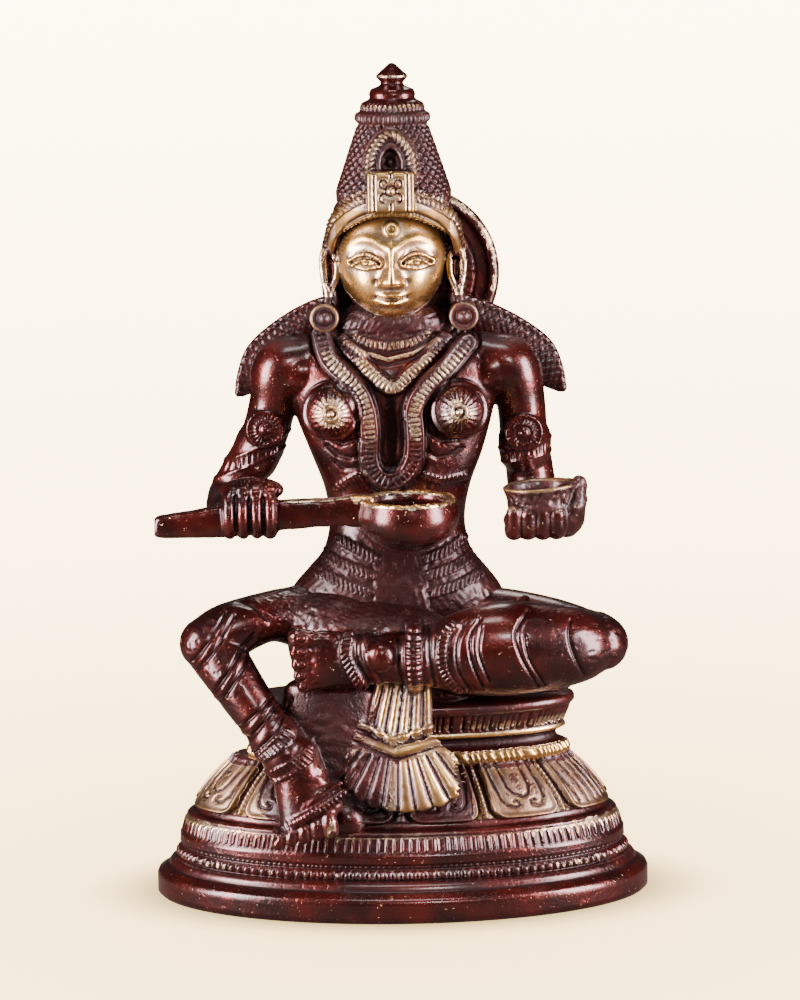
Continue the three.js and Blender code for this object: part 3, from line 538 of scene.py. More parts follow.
def tube(stations, up=(0, 0, 1), sides=32, steps=8):
    """A round-ended skin along a path of stations (x, y, z, radius, flatness): at each point an
    ellipse with the radius along up and the radius times the flatness across it."""
    rows = through([(*station, 1.0)[:5] for station in stations], steps)
    middle = rows[:, :3]
    size = np.stack([rows[:, 3], rows[:, 3] * rows[:, 4]], -1)
    along = np.gradient(middle, axis=0)
    along /= np.linalg.norm(along, axis=1, keepdims=True)
    side = np.array(up, float) - along * (along @ np.array(up, float))[:, None]
    side /= np.linalg.norm(side, axis=1, keepdims=True)
    across = np.cross(along, side)
    ends = np.radians([8, 26, 44, 60, 76])
    count = len(middle)
    index = np.concatenate([np.zeros(5, int), np.arange(count), np.full(5, count - 1)])
    grow = np.concatenate([np.sin(ends), np.ones(count), np.sin(ends[::-1])])
    slide = np.concatenate([-np.cos(ends), np.zeros(count), np.cos(ends[::-1])])
    size, reach = size[index] * grow[:, None], slide * size[index].min(1)
    centre = (middle[index] + along[index] * reach[:, None])[:, None]
    turn = turns(sides)[..., None]
    ring = side[index][:, None] * size[:, None, :1] * np.cos(turn)
    return skin(centre + ring + across[index][:, None] * size[:, None, 1:] * np.sin(turn))


def ovals(rows, sides=96, steps=6):
    """A skin over level ovals (x, y, z, half width, depth before, depth behind), drawn smoothly
    through them: cosine of the turn times the half width, sine times the depth on its side."""
    x, y, z, half_width, before, behind = through(rows, steps).T[..., None]
    turn = turns(sides)
    y = y + np.where(np.sin(turn) < 0, before, behind) * np.sin(turn)
    return skin(np.stack([x + half_width * np.cos(turn), y, z + 0 * turn], -1))


def egg(middle, half, sides=40, rows=20):
    """An ellipsoid: sines and cosines of a fall and a turn times its half sizes."""
    fall, turn = (np.arange(1, rows) / rows * np.pi)[:, None], turns(sides)
    unit = [np.sin(fall) * np.cos(turn), np.sin(fall) * np.sin(turn), -np.cos(fall) + 0 * turn]
    return skin(np.stack(unit, -1) * half + middle)


def engraved(x, z, strokes, steps=1):
    """Relief along lines: a bell over the distance to each, grooves below 0 and ridges above."""
    lines = [(seen([(a, 0, b) for a, b in line], steps), *rest) for line, *rest in strokes]
    return sum(deep * hump(to_line(x, z, line)[0], wide) for line, wide, deep in lines)


def ribbed(x, z, bands, steps=1):
    """Relief of raised bands: flat on top over the distance to a line, and notched by the sine of
    the length along it."""
    total = np.zeros(len(x))
    for line, half_width, high, pitch, deep, slant in bands:
        distance, along, left = to_line(x, z, seen([(a, 0, b) for a, b in line], steps))
        cut = notched((along + slant * left) / pitch) * smooth(half_width - 0.1, half_width - 0.5, distance)
        total += high * smooth(half_width, half_width - 0.4, distance) - deep * cut
    return total


def roughness(x, y, z, size, seed):
    """Uneven casting skin from -1 to 1: the mean of sines along many directions."""
    waves = np.random.default_rng(seed).normal(size=(14, 3)) / size
    starts = np.random.default_rng(seed + 1).uniform(0, TAU, 14)
    return np.sin(np.stack([x, y, z], -1) @ waves.T * TAU / 2 + starts).sum(1) / 5


def add_cast(name, shells, cell, melt, carve, finish, most=192000):
    """A cast piece: overlapping closed skins made into one by a voxel remesh, melted together by
    drawing points to their neighbours, moved along their normals by carve(x, y, z, normals), and
    given the shares of rubbing, bloom and shade of finish(x, y, z, normals)."""
    lift = (0, 0, SEAT_TOP)
    starts = np.cumsum([0] + [len(points) for points, faces in shells])
    points = np.concatenate([points for points, faces in shells]) + lift
    faces = np.concatenate([faces + start for (_, faces), start in zip(shells, starts)])
    wax = add_object("wax", new_mesh("wax", points, faces))
    remesh = wax.modifiers.new("remesh", "REMESH")
    remesh.mode = "VOXEL"
    remesh.voxel_size = cell * MM
    solid = wax.evaluated_get(bpy.context.evaluated_depsgraph_get()).to_mesh()
    solid.calc_loop_triangles()
    points = np.empty(3 * len(solid.vertices), np.float32)
    solid.vertices.foreach_get("co", points)
    faces = np.empty(3 * len(solid.loop_triangles), np.int32)
    solid.loop_triangles.foreach_get("vertices", faces)
    bpy.data.objects.remove(wax)
    points, faces = points.reshape(-1, 3).astype(float) / MM - lift, faces.reshape(-1, 3)
    points = spread(points, edges_of(faces), melt)
    normals = vertex_normals(points, faces)
    points = points + normals * carve(*points.T, normals)[:, None]
    marks = finish(*points.T, vertex_normals(points, faces))
    add_piece(name, points + lift, faces, most, *marks)


legs = [
    tube(
        [
            (6, 0.5, 11, 10, 0.85), (18, -1, 11, 10.4, 0.85), (31, -4.5, 11.2, 8.4, 0.85),
            (38.6, -7.4, 11.6, 5.9),
        ],
        sides=64,
    ),
    tube(
        [
            (39.5, -9.4, 11.6, 5.6), (36, -10.6, 11.5, 7.1), (31, -11.8, 11.5, 8.2, 0.95),
            (21, -13.5, 11.7, 9.3, 0.85), (12, -14.8, 11.2, 8.2, 0.8), (6.5, -15.8, 10.9, 6.4, 0.8),
            (2.5, -16.4, 10.6, 5.2, 0.85), (-4, -16.4, 10.6, 4.7, 0.9), (-9, -17, 10.6, 5.5, 0.65),
            (-15.4, -17.2, 10.9, 5.9, 0.45),
        ],
        sides=64,
    ),
    egg((-3.6, -20.0, 11.8), (3.0, 2.3, 3.0)),
    tube([(4, -3.6, 5.2, 5), (20, -4.4, 5.2, 5, 1.2), (31, -4.6, 5.8, 4.8, 1.1)], sides=48),
    egg((-5, -6, 13.5), (17, 9.5, 7.6)),
    egg((-12, -4, 16), (12, 9, 6.5)),
]

# The folded foot's toes, from the great toe down, as (height, length, radius), each a tube that
# narrows at its middle joint, and the ring over its ankle.
TOES = ((15.5, 20.8, 1.85), (12.7, 20.9, 1.55), (10.2, 20.7, 1.45), (7.9, 20.4, 1.35), (5.8, 19.8, 1.3))
for height, length, radius in TOES:
    root = np.array((-13.4, -18.0, 10.9 + 0.82 * (height - 10.9)))
    reach = (1 - length, -18.2, height) - root
    stations = [(*(root + reach * t), radius * r) for t, r in ((0, 0.95), (0.45, 0.9), (0.7, 0.92), (1, 1))]
    legs.append(tube(stations, sides=20, steps=4))
ring = [(3.2, -13, 6), (2.8, -17.6, 4.68), (2.64, -20.3, 0), (2.8, -17.6, -4.68), (3.2, -13, -6)]
legs.append(tube([(x, y, 10.8 + z, 1.5) for x, y, z in ring], up=(1, 0, 0), sides=20))


def down_shin(share, y, radius):
    """A station of the hanging shin, a share of the way from knee to ankle, moved by y."""
    return (*(KNEE + (ANKLE - KNEE) * share + (0, y, 0)), radius)


def near_foot(stations, **settings):
    """A tube whose stations are given from the lotus's front and foot."""
    return tube([(*(FOOT + station[:3]), *station[3:]) for station in stations], **settings)


shin = [(0, 0.4, 5.8), (0.25, -0.8, 5.2), (0.55, -0.8, 4.6), (0.8, 0, 4.2), (1, 0.4, 4)]
heel = [(-20.6, 0.6, 16, 4.8, 0.9), (-19.2, -1, 10.6, 5.6, 0.7), (-17.4, -3.4, 5.8, 6.6, 0.4)]
web = [
    (-12.4, -16, -23, 5.4, 0.6), (-13, -14.4, -12.4, 8.2, 0.45), (-14, -13.2, -4.4, 9.4, 0.4),
    (-13.6, -12, 3, 9.4, 0.4),
]
legs += [
    tube(
        [
            (-6, 1, 15, 8), (-17, -1.5, 16, 6.9), (-26, -5, 16.9, 4.9, 1.3), (-34, -8.4, 14.6, 5.7),
            (-38, -9.6, 12.8, 5.2),
        ],
        sides=56,
    ),
    tube([down_shin(*row) for row in shin], up=(1, 0, 0), sides=56),
    near_foot(heel, up=(0.9, 0, 0.4), sides=48),
    near_foot([(-24.6, -2.6, 2.4, 0.95), (-18.6, -6.0, 5.9, 1.05), (-11.2, -4.6, 10.4, 0.9)], sides=20),
    near_foot([(-24.4, -1.6, 4.2, 0.5), (-18.8, -5.3, 7.8, 0.5), (-11.8, -4.2, 12.2, 0.5)], sides=16),
    tube(web, up=(1, 0, 0), sides=40),
    egg((-10.6, -17.6, -21.6), (3.6, 3.0, 3.6)),
]
for k, radius in enumerate((1.2, 1.25, 1.3, 1.4, 1.75)):
    root = np.array((-23.2 + 2.2 * k, -3.4, 2.6 + 1.05 * k))
    tip = np.array((-24.2 + 2.6 * k, -5.4, 0.4 + 0.65 * k))
    bend = (root + tip) / 2 + (0, -0.9, 0.3)
    toe = [(*root, 0.9 * radius), (*bend, 0.9 * radius), (*tip, radius)]
    legs.append(near_foot(toe, up=(1, 0, 0), sides=20))
for share, radius, half in ((0.8, 5.0, 1.2), (0.96, 4.9, 1.5)):
    centre = np.array(down_shin(share, 0.2, radius))
    slope = half * np.array([0.55, 0.1, -0.75, 0])
    legs.append(tube([centre - slope, centre + slope], up=(1, 0, 0), sides=48))

# The hanging cloth: half widths times -1 to 1 across, folded by the pleats' sine, bulged forwards and
# sagging at its middle, and closed by one back edge inside the casting, behind its edge on her right.
# Rows (fall, middle, half width, forward, sag, pleat depth).
SASH_LOW, SASH_HIGH = -17.0, 5.4
sash_rows = np.array(
    [
        (0, 0.8, 5.6, 0, 0, 1.3), (0.42, -0.6, 7.2, 1.6, 0.4, 1.3), (0.47, -0.8, 7.6, 2.4, 1.0, 0.2),
        (0.49, -0.8, 7.8, 3, 1.6, 0), (0.56, -0.4, 9.0, 3.4, 1.4, 0), (0.62, 0.2, 10.2, 3.4, 1.6, 0),
        (0.7, 0.8, 11.4, 4.2, 2.2, 0), (0.84, 0.9, 12.2, 5.6, 3.4, 0), (0.94, 0.9, 11.8, 6.2, 3.6, 0),
        (1.0, 0.9, 10.0, 6.3, 3.6, 0),
    ]
).T
fall = np.linspace(0, 1, 90)[:, None]
middle, half_width, forward, sag, pleat = (np.interp(fall, sash_rows[0], row) for row in sash_rows[1:])
across = np.linspace(-1, 1, 181)[None]
pleated = notched(SASH_PLEATS * (across + 1) / 2)
y = 5 + LOTUS_FRONT_Y - forward + 1.6 * across**2 - pleat * (0.5 - pleated)
z = SASH_HIGH + (SASH_LOW - SASH_HIGH) * fall - sag * (np.sqrt(1 - across**2) - 0.4)
front = np.stack([middle + half_width * across, y, z], -1)
behind = front[:, :1].copy()
behind[..., 1] = LOTUS_FRONT_Y + 11.1 - forward
legs.append(skin(np.concatenate([front, behind], 1)))

# Grooves and ridges of the folds as (corners, width, depth), ribbed rings as (corners, half width,
# height, pitch, depth, slant), the foot's lines and the chevrons over the fan, all seen from the front.
LEG_FOLDS = [
    ([(33.3, 17.7), (33.0, 15), (33.6, 12.0), (35.8, 7.0)], 0.3, -0.45),
    ([(25.1, 19.9), (22.6, 16.4), (23.5, 11.9), (26.9, 5.1)], 0.34, -0.6),
    ([(24.3, 15.6), (25.0, 11.3), (28.1, 5.4)], 0.3, -0.5),
    ([(15.6, 18.7), (13.7, 15.5), (14.0, 11.0), (16.1, 5.2)], 0.34, -0.6),
    ([(16.0, 17.4), (15.4, 12.9), (17.4, 6.5)], 0.3, -0.5),
    ([(-33.9, 19.4), (-36.4, 15.4), (-40.5, 10.0)], 0.34, -0.55),
    ([(-32.2, 18.9), (-34.9, 14.1), (-39.7, 8.4)], 0.32, -0.5),
    ([(-28.4, 15.1), (-31.5, 11.3), (-36.7, 4.2)], 0.36, -0.6),
    ([(-27.2, 12.5), (-30.8, 8.7), (-35.4, 2.2)], 0.34, -0.55),
    ([(-25.0, 3.5), (-28.5, 0.6), (-32.3, -3.2)], 0.36, -0.6),
    ([(-23.4, 2.5), (-26.6, -0.8), (-30.6, -5.2)], 0.36, -0.6),
    ([(-21.3, 2.4), (-23.8, -1.6), (-28.6, -7.2)], 0.34, -0.55),
    ([(-33.6, 21.4), (-28.8, 20.2), (-25.3, 17.6)], 0.5, -0.4),
    ([(24.4, 19.0), (23.2, 15.4), (24.2, 11.4), (27.5, 5.1)], 0.4, 0.15),
    ([(15.2, 18.6), (14.5, 14.5), (14.8, 11.0), (16.8, 5.2)], 0.4, 0.15),
    ([(-33.1, 19.4), (-35.6, 14.8), (-40.1, 9.2)], 0.35, 0.12),
    ([(-27.8, 13.8), (-31.2, 10.0), (-36.1, 3.2)], 0.35, 0.15),
    ([(-24.2, 3.0), (-27.5, -0.1), (-31.4, -4.2)], 0.4, 0.18),
]
ANKLETS = [
    ([(-9.7, 16.4), (-10.5, 12.5), (-8.3, 7.3), (-6.3, 4.0)], 1.25, 0.85, 0.95, 0.55, 0.4),
    ([(3.0, 18.6), (2.7, 12), (3.2, 4.6)], 1.6, 0.4, 1.2, 0.5, 0.0),
    ([(10.9, 18), (8.7, 15.6), (8.4, 9.2), (11.3, 4.3)], 1.0, 0.6, 0.95, 0.5, 0.3),
]
LOW_ANKLETS = [
    ([(-28.4, -7.8), (-25.0, -5.6), (-21.4, -2.8)], 1.5, 0.5, 0.9, 0.5, 0.3),
    ([(-26.4, -11.9), (-21.0, -9.0), (-15.8, -5.4)], 1.6, 0.5, 0.9, 0.5, 0.3),
]
FOOT_LINES = [
    ([(-6.8, 17.2), (-6.4, 12.4), (-4.5, 7.2), (-3.2, 4.8)], 0.5, 0.5),
    ([(-7.9, 17), (-8.2, 12.4), (-6.2, 7.2)], 0.3, -0.35),
    ([(0.3, 17.6), (-0.3, 12), (0.6, 5.4)], 0.5, -0.6), ([(5.8, 17.8), (5.9, 12), (6.8, 5.4)], 0.55, -0.6),
    ([(12.9, 18.4), (11.2, 14.6), (11.3, 9.2), (13.6, 4.6)], 0.45, -0.5),
    ([(-4.8, 14.9), (-1.7, 16.9), (0.6, 17.8)], 0.5, -0.4),
]
CHEVRONS = [
    ([(-8.8, -2.2), (-1.4, -5.4), (7.0, -3.1)], 0.6, 0.55),
    ([(-8.8, -3.4), (-1.4, -6.7), (7.3, -4.3)], 0.3, -0.4),
    ([(-8.8, -4.6), (-1.1, -8.0), (8.0, -5.5)], 0.6, 0.5),
    ([(-9.0, -5.8), (-1.0, -9.2), (8.4, -6.7)], 0.3, -0.45),
]


def fan_flute(x, z):
    """Blades of the fan, 0 in the grooves between them: the sine of nineteen times the angle at
    which a point lies below the fan's middle, to a small power."""
    return np.abs(np.sin(np.arctan2(x + 0.4, -(z - 1.6)) * 19 + 0.3)) ** 0.6


def on_sash(x, y, z):
    """Whether points lie on the hanging cloth: in front, and inside its outline in half widths."""
    half_width = np.interp(z, [-19.6, -17, -13, -9, -6, -4, 5.4], [9.4, 11.8, 12.6, 11.2, 9.4, 8.0, 6.2])
    inside = np.abs(x - np.interp(z, [-10, -4, 5], [0.6, -0.8, 0.8])) < half_width
    return (
        inside & (z < 6) & (z > -19.8) & (y > -22.4) & (y < np.interp(z, [-20, -9, 2], [-19.6, -16.2, -13.6]))
    )


def carve_legs(x, y, z, normals):
    """Folds of the garment, rings round the ankles, toes' nails, cloth, strap and rough knees."""
    ahead = smooth(0.0, 0.3, -normals[:, 1])
    garment = (z > -9) & (z < 24) & ((x > 12) | (x < -20.5))
    relief = ahead * garment * engraved(x, z, LEG_FOLDS, 4)
    ankle = ahead * (y < -15.2) * (z > 2) * smooth(18.6, 17.6, z)
    relief += ankle * (ribbed(x, z, ANKLETS, 4) + engraved(x, z, FOOT_LINES, 4))
    nails = sum(hump(np.hypot(x + 19.0, 1.1 * (z - height - 0.1)) - 0.95, 0.22) for height, _, _ in TOES)
    relief -= 0.3 * ahead * (y < -17.6) * (z > 3) * nails
    relief += ahead * (z < 0) * smooth(-16.6, -17.4, x) * (y < -14) * ribbed(x, z, LOW_ANKLETS)
    below = to_line(x, z, [(-9.2, -6.4), (-1.0, -9.6), (8.6, -7.3)])[2]
    blades = smooth(0.2, -0.8, below) * 0.75 * (fan_flute(x, z) - 0.55)
    relief += on_sash(x, y, z) * ahead * (engraved(x, z, CHEVRONS) + blades)
    strap = (x < -10) & (x > -26) & (z < -11) & (y < -20)
    distance, along, left = to_line(x, z, [(-24.6, -22.0), (-18.6, -18.5), (-11.2, -14.0)])
    relief -= 0.35 * strap * hump(distance, 1.0) * notched(along / 0.95, 0.6)
    knees = hump(x + 40, 4) * (z > 4) + hump(x - 41, 6) + hump(x + 34, 3.5) * hump(z - 6, 5)
    knees += hump(x + 21, 4) * hump(z - 18.5, 3)
    relief -= 0.11 * knees * smooth(0.1, 0.9, roughness(x, y, z, 1.5, 4))
    grainy = (z > 13) * hump(x + 20, 7) + 0.6 * hump(x + 4, 14) * smooth(15.5, 17, z)
    relief += 0.13 * np.clip(grainy, 0, 1) * roughness(x, y, z, 1.1, 6)
    return relief + 0.18 * hump(x + 14, 6) * hump(z + 8, 14) * (y > -24) * roughness(x, y, z, 2.2, 9)


def finish_legs(x, y, z, normals):
    """The sash's fan and pleats are rubbed to brass, toes and strap a little, and the web and lap are dull
    and carry painted shade.
    """
    fan = on_sash(x, y, z) * 1.0
    favour = fan * (0.03 + 0.77 * smooth(-4, 1, x + 2.5 * (z > -7)) + 0.25 * (z > -8))
    toes = smooth(-23.6, -24.6, y) * (z < -19) * (0.06 + 0.16 * window(x, -16, -14, -12.8, -11.8))
    web = window(x, -24, -20, -7, -2) * smooth(4.6, 2.8, z) * smooth(-20.5, -19.0, y)
    lap = window(x, -24, -19, 7, 12) * smooth(15.8, 17, z) * smooth(-19, -17.4, y)
    bloom = np.maximum(
        np.clip(0.9 * web * (1 - fan) + 0.9 * lap, 0, 1), fan * (0.55 + 0.35 * np.sin(x / 2.5 + z / 3)),
    )
    blades = 0.9 * smooth(0.7, 0.35, fan_flute(x, z)) + 0.5 * smooth(1, -4, x)
    # Painted shade on the web, tucked between the legs, and on the lap where it meets the body. The legs are
    # also a little darker all over, more at both knees.
    shade = fan * (blades * smooth(-7.5, -9, z) + 0.5 * hump(z + 19.4, 1.2)) + 0.45 * lap
    shade += (1 - fan) * (0.5 * web + 0.16 + 0.2 * smooth(34, 42, x) + 0.22 * smooth(-33, -38, x) * (z > 4))
    return np.maximum(favour, toes), bloom, shade


add_cast("legs_and_sash", legs, LEG_CELL, 4, carve_legs, finish_legs)

# Trunk and arms
# Her bare upper body with its necklaces, breast ornaments, girdle and armlets, all raised or cut in
# the wax before casting. The arms are bent forwards at the elbows.
TRUNK_CELL = 0.3
BREASTS = (-12.5, 12.4)
ORNAMENT_Z = 58.4
PANEL_X, PANEL_HALF_WIDTH = 0.6, 5.4
ARMLETS = ((-25.7, 54.0), (25.2, 52.6))
GARLAND = [
    (-14.3, -3, 73.0), (-12.9, -5.6, 68.4), (-9.3, -7.8, 64.8), (-6.8, -8.6, 61.6), (-5.5, -9, 58),
    (-5.1, -9, 53.7), (-5.3, -8.7, 49.0), (-4.0, -8.6, 45.6), (-1.2, -8.5, 44.2), (1.5, -8.6, 45.6),
    (3.5, -8.7, 48.8), (3.8, -9, 54.8), (3.6, -9, 58.5), (6.0, -8.6, 62.8), (10.2, -7.6, 66.6),
    (14.3, -3.4, 70.9),
]
POINTED = [
    (-10.1, -2.6, 71.2), (-7.2, -5.4, 68.2), (-3.8, -6.8, 64.8), (-0.6, -7.3, 62.6), (2.9, -6.8, 65.2),
    (6.8, -5.4, 68.2), (10.1, -2.8, 71.4),
]
trunk = [
    ovals(
        [
            (-0.4, 1.5, -0.5, 18, 10, 9.6), (-0.4, 1.5, 8, 21.6, 11, 10.4),
            (-0.4, 1, 20.5, 21.2, 10.8, 9.6), (-0.2, 0.7, 26, 17.2, 9.8, 8.6),
            (-0.1, 0.4, 29, 14.8, 9, 8), (0, 0, 35, 13.4, 8, 7), (0.1, 0, 42, 14.4, 8, 7.4),
            (0.1, 0.4, 49, 17, 8.2, 8), (-0.3, 0.8, 57, 19.6, 8.6, 8.2), (-0.4, 1.6, 66, 21.6, 8.4, 7),
            (-0.4, 2, 69.6, 18, 7.2, 6), (-0.4, 1.8, 72, 10.4, 7, 6.6), (-0.4, 1.6, 73.6, 8.2, 6.4, 6.4),
            (-0.4, 1.4, 79, 7.4, 6, 6.6),
        ]
    ),
    *(egg((x, -6.8, 58), (5.9, 6.4, 5.9), 64, 40) for x in BREASTS),
    *(egg((x, 1.6, 64.6), (6.4, 6, 5.4)) for x in (-19, 19)),
    egg((-0.6, 1.4, 74.4), (12.2, 6.8, 5.2), 64, 40),
    tube(
        [
            (-17, 2, 67.2, 5.0), (-22.2, 1.8, 65.2, 6), (-24, 2.2, 59, 4.8), (-26.1, 3, 52, 4.6),
            (-30.2, 4.2, 45, 4.4), (-33.2, 3.6, 39.4, 4.5), (-33, -3, 38.4, 4.2),
            (-30.6, -13, 41.4, 3.6),
        ],
        up=(0.3, 1, 0.2), sides=56,
    ),
    tube(
        [
            (17, 2, 67.2, 5.0), (22.6, 1.8, 65, 6), (24.6, 2.2, 59, 4.9), (25.4, 3, 51, 4.7),
            (26.4, 4, 44.6, 4.7), (26.9, 3, 39.8, 4.8), (26.8, -4, 38.2, 4), (27.4, -13, 38.6, 3.7),
        ],
        up=(-0.3, 1, 0.2), sides=56,
    ),
    tube([(-28.2, 3.2, 47.4, 4.9), (-26.8, 3.1, 50.4, 5.0)], up=(0, 1, 0), sides=48),
    tube([(25.5, 3.0, 48.2, 5.2), (25.5, 3.1, 50.4, 5.3)], up=(0, 1, 0), sides=48),
    egg((-25.7, -1.4, 54.0), (4.1, 1.9, 3.9)),
    egg((25.2, -1.5, 52.6), (3.9, 1.9, 3.8)),
    tube([(*station, 1.5, 1.4) for station in GARLAND], up=(0, 1, 0)),
    tube([(*station, 1.3, 1.2) for station in POINTED], up=(0, 1, 0)),
]
garland_line, pointed_line = seen(GARLAND), seen(POINTED)
choker_line = [(-7.9, 72.4), (-4.8, 71.0), (-1.0, 70.4), (3.0, 71.0), (6.4, 72.6)]
collar_line = [(-9.8, 71.3), (-6.0, 69.3), (-1.4, 67.9), (3.7, 69.1), (8.6, 71.5)]
TRUNK_LINES = [
    (collar_line, 0.45, 0.45), ([(x, z - 1) for x, z in collar_line], 0.4, -0.35),
    ([(-15.4, 54.9), (-13.6, 52.4), (-10.6, 51.4), (-7.2, 52.6)], 0.4, -0.5),
    ([(-13.4, 50.9), (-11.4, 49.2), (-8.9, 48.7), (-6.9, 49.4)], 0.45, -0.45),
    ([(-11.8, 47.8), (-10.2, 46.6), (-7.7, 46.8)], 0.4, -0.35),
    ([(6.6, 53.4), (8.8, 51.8), (12.2, 51.8), (15.3, 54.3)], 0.4, -0.5),
    ([(6.3, 49.6), (8.1, 48.6), (10.7, 48.9), (12.8, 50.1)], 0.45, -0.45),
    ([(-6.3, 41), (-1, 39.6), (4, 40.4)], 0.5, -0.25),
]
GIRDLE = [
    ([(-11.4, 32.2), (-7.6, 30.6), (-4.4, 28.8)], 1.15, 0.45, 0.95, 0.5, 0.5),
    ([(-14.6, 29.0), (-10.2, 27.4), (-5.2, 25.7)], 1.15, 0.4, 0.95, 0.5, 0.5),
    ([(-15.9, 25.8), (-10.6, 23.9), (-5.6, 22.3)], 1.15, 0.35, 0.95, 0.5, 0.5),
    ([(5.2, 28.6), (9.4, 29.8), (13.2, 32.0)], 1.15, 0.45, 0.95, 0.5, -0.5),
    ([(6.0, 25.4), (10.8, 26.6), (15.8, 28.8)], 1.15, 0.4, 0.95, 0.5, -0.5),
    ([(6.4, 22.0), (11.6, 23.2), (17.6, 25.4)], 1.15, 0.35, 0.95, 0.5, -0.5),
    ([(-11.8, 42.6), (-9.0, 44.4), (-5.9, 46.0)], 0.9, 0.35, 0.9, 0.35, 0.4),
    ([(5.2, 45.2), (8.7, 43.9), (13.4, 44.3)], 0.9, 0.35, 0.9, 0.35, -0.4),
]
GIRDLE_EDGES = [([(-5.0, 28.8), (-5.0, 19)], 0.4, -0.2), ([(6.2, 28.6), (6.2, 19)], 0.4, -0.2)]


def medallion(x, z, centre_x, centre_z):
    """A round boss with a rim, a middle and short rays between them."""
    away = np.hypot(x - centre_x, z - centre_z)
    rays = (1 - np.abs(np.sin(11 * np.arctan2(z - centre_z, x - centre_x)))) * hump(away - 2.2, 0.8)
    rings = 0.45 * hump(away - 3.3, 0.3) + 0.35 * hump(away, 0.8) - 0.3 * hump(away - 1.2, 0.25)
    return smooth(4.0, 3.6, away) * (rings - 0.45 * rays)


def carve_trunk(x, y, z, normals):
    """Necklaces, breast ornaments, folds under the breasts, straps, girdle and armlets."""
    ahead = smooth(-0.1, 0.25, -normals[:, 1])
    front = ahead * (np.abs(x) < 20)
    relief = engraved(x, z, TRUNK_LINES) + ribbed(x, z, GIRDLE)
    distance, along, left = to_line(x, z, garland_line)
    band = 0.35 * hump(distance - 1.45, 0.3) - 0.45 * notched(along) * smooth(1.25, 0.95, distance) - 0.1
    relief += smooth(2.2, 1.7, distance) * band - 0.45 * hump(distance - 2.3, 0.35)
    relief -= 0.9 * hump(x + 0.7, 1.9) * window(z, 45.8, 47.5, 59.5, 62.5)
    distance, along, left = to_line(x, z, pointed_line)
    relief += smooth(1.5, 1.1, distance) * (0.15 - 0.4 * notched(along / 0.9) * smooth(1.0, 0.7, distance))
    relief += 0.25 * hump(distance - 1.35, 0.3)
    distance, along, left = to_line(x, z, choker_line)
    relief += smooth(1.0, 0.7, distance) * (0.55 - 0.45 * notched(along / 0.85, 1))
    for side_x in BREASTS:
        away = np.hypot(x - side_x, z - ORNAMENT_Z)
        rays = 1 - np.abs(np.sin(10 * np.arctan2(z - ORNAMENT_Z, x - side_x))) ** 0.4
        rings = 0.4 * hump(away - 1.35, 0.28) + 0.5 * hump(away, 0.55) - 0.3 * hump(away - 0.85, 0.25)
        relief += (y < -8) * (rings - 0.32 * rays * window(away, 1.5, 1.9, 3.6, 4.8))
        rim = 0.25 * hump(away - 5.5, 0.3) - 0.35 * hump(away - 5.0, 0.25) - 0.3 * hump(away - 5.95, 0.25)
        relief += (y < -6) * rim
    relief += (
        (z < 30) * engraved(x, z, GIRDLE_EDGES)
        + 0.5 * hump(to_line(x, z, [(4.2, 22.6), (5.2, 19.2)])[0], 0.9)
    )
    relief += 0.08 * smooth(35, 31, z) * (np.abs(x - PANEL_X) > PANEL_HALF_WIDTH) * roughness(x, y, z, 1.6, 8)
    relief *= front
    relief += 0.13 * (z > 72.5) * (np.abs(x) < 14) * roughness(x, y, z, 1.5, 17)
    outside = ahead * (np.abs(x) > 18) * smooth(-0.2, 0.3, -normals[:, 1])
    relief += outside * sum(medallion(x, z, *centre) for centre in ARMLETS)
    cuffs = (np.abs(x) > 19) & (y > -3)
    height = z - np.where(x < 0, 48.9 + 0.45 * (x + 27), 48.6 + 0.22 * (x - 26))
    turn = np.arctan2(x - np.sign(x) * 26.4, -(y - 3))
    relief += cuffs * (0.25 * hump(height - 1.4, 0.35) + 0.25 * hump(height + 1.4, 0.35))
    relief -= 0.35 * cuffs * hump(height, 0.9) * notched(14 * turn / np.pi)
    panel = (z < 29.5) & (z > 17) & (np.abs(x - PANEL_X) < PANEL_HALF_WIDTH) & (y < -5)
    relief += 0.1 * panel * ahead * roughness(x, y, z, 2.2, 21)
    back = smooth(0.2, 0.6, normals[:, 1]) * (z > 16) * (z < 34) * (np.abs(x) < 17)
    return relief - 0.3 * back * hump((z - 17) % 4.0 - 2.0, 0.35)


def finish_trunk(x, y, z, normals):
    """Necklaces and breast ornaments are rubbed to brass, the neck and girdle keep a dull bloom, and painted
    shade darkens the neck under the chin and the body from the waist down.
    """
    garland, pointed, choker, collar = (
        to_line(x, z, line)[0] for line in (garland_line, pointed_line, choker_line, collar_line)
    )
    bands = [
        smooth(1.3, 0.8, garland) * window(z, 50, 55, 67, 73),
        smooth(1.2, 0.8, pointed) * smooth(9, 6, np.abs(x)),
        smooth(0.9, 0.5, choker), smooth(0.6, 0.3, collar),
    ]
    bands += [
        (y < -9) * share * smooth(4.6, 1.2, np.hypot(x - side_x, z - ORNAMENT_Z)) * smooth(54, 57, z)
        for side_x, share in zip(BREASTS, (1.2, 0.76))
    ]
    favour = 0.5 * np.max(bands, axis=0) * smooth(0.1, 0.5, -normals[:, 1]) * (np.abs(x) < 20)
    bloom = 0.95 * smooth(68.5, 71, z) + 0.45 * smooth(2.2, 1.2, garland) + 0.4 * smooth(1.6, 1, pointed)
    bloom += 0.7 * window(z, 12, 20, 29, 34) * smooth(20, 13, np.abs(x))
    shade = 0.5 * hump(x + 0.7, 2.2) * window(z, 46, 48, 59, 62) * smooth(0.1, 0.5, -normals[:, 1])
    # Painted shade on the neck under the chin and on the body from the waist down.
    return favour, np.clip(bloom, 0, 1), shade + 0.6 * smooth(70.5, 73, z) + 0.75 * smooth(36, 30, z)


add_cast("trunk_and_arms", trunk, TRUNK_CELL, 4, carve_trunk, finish_trunk)

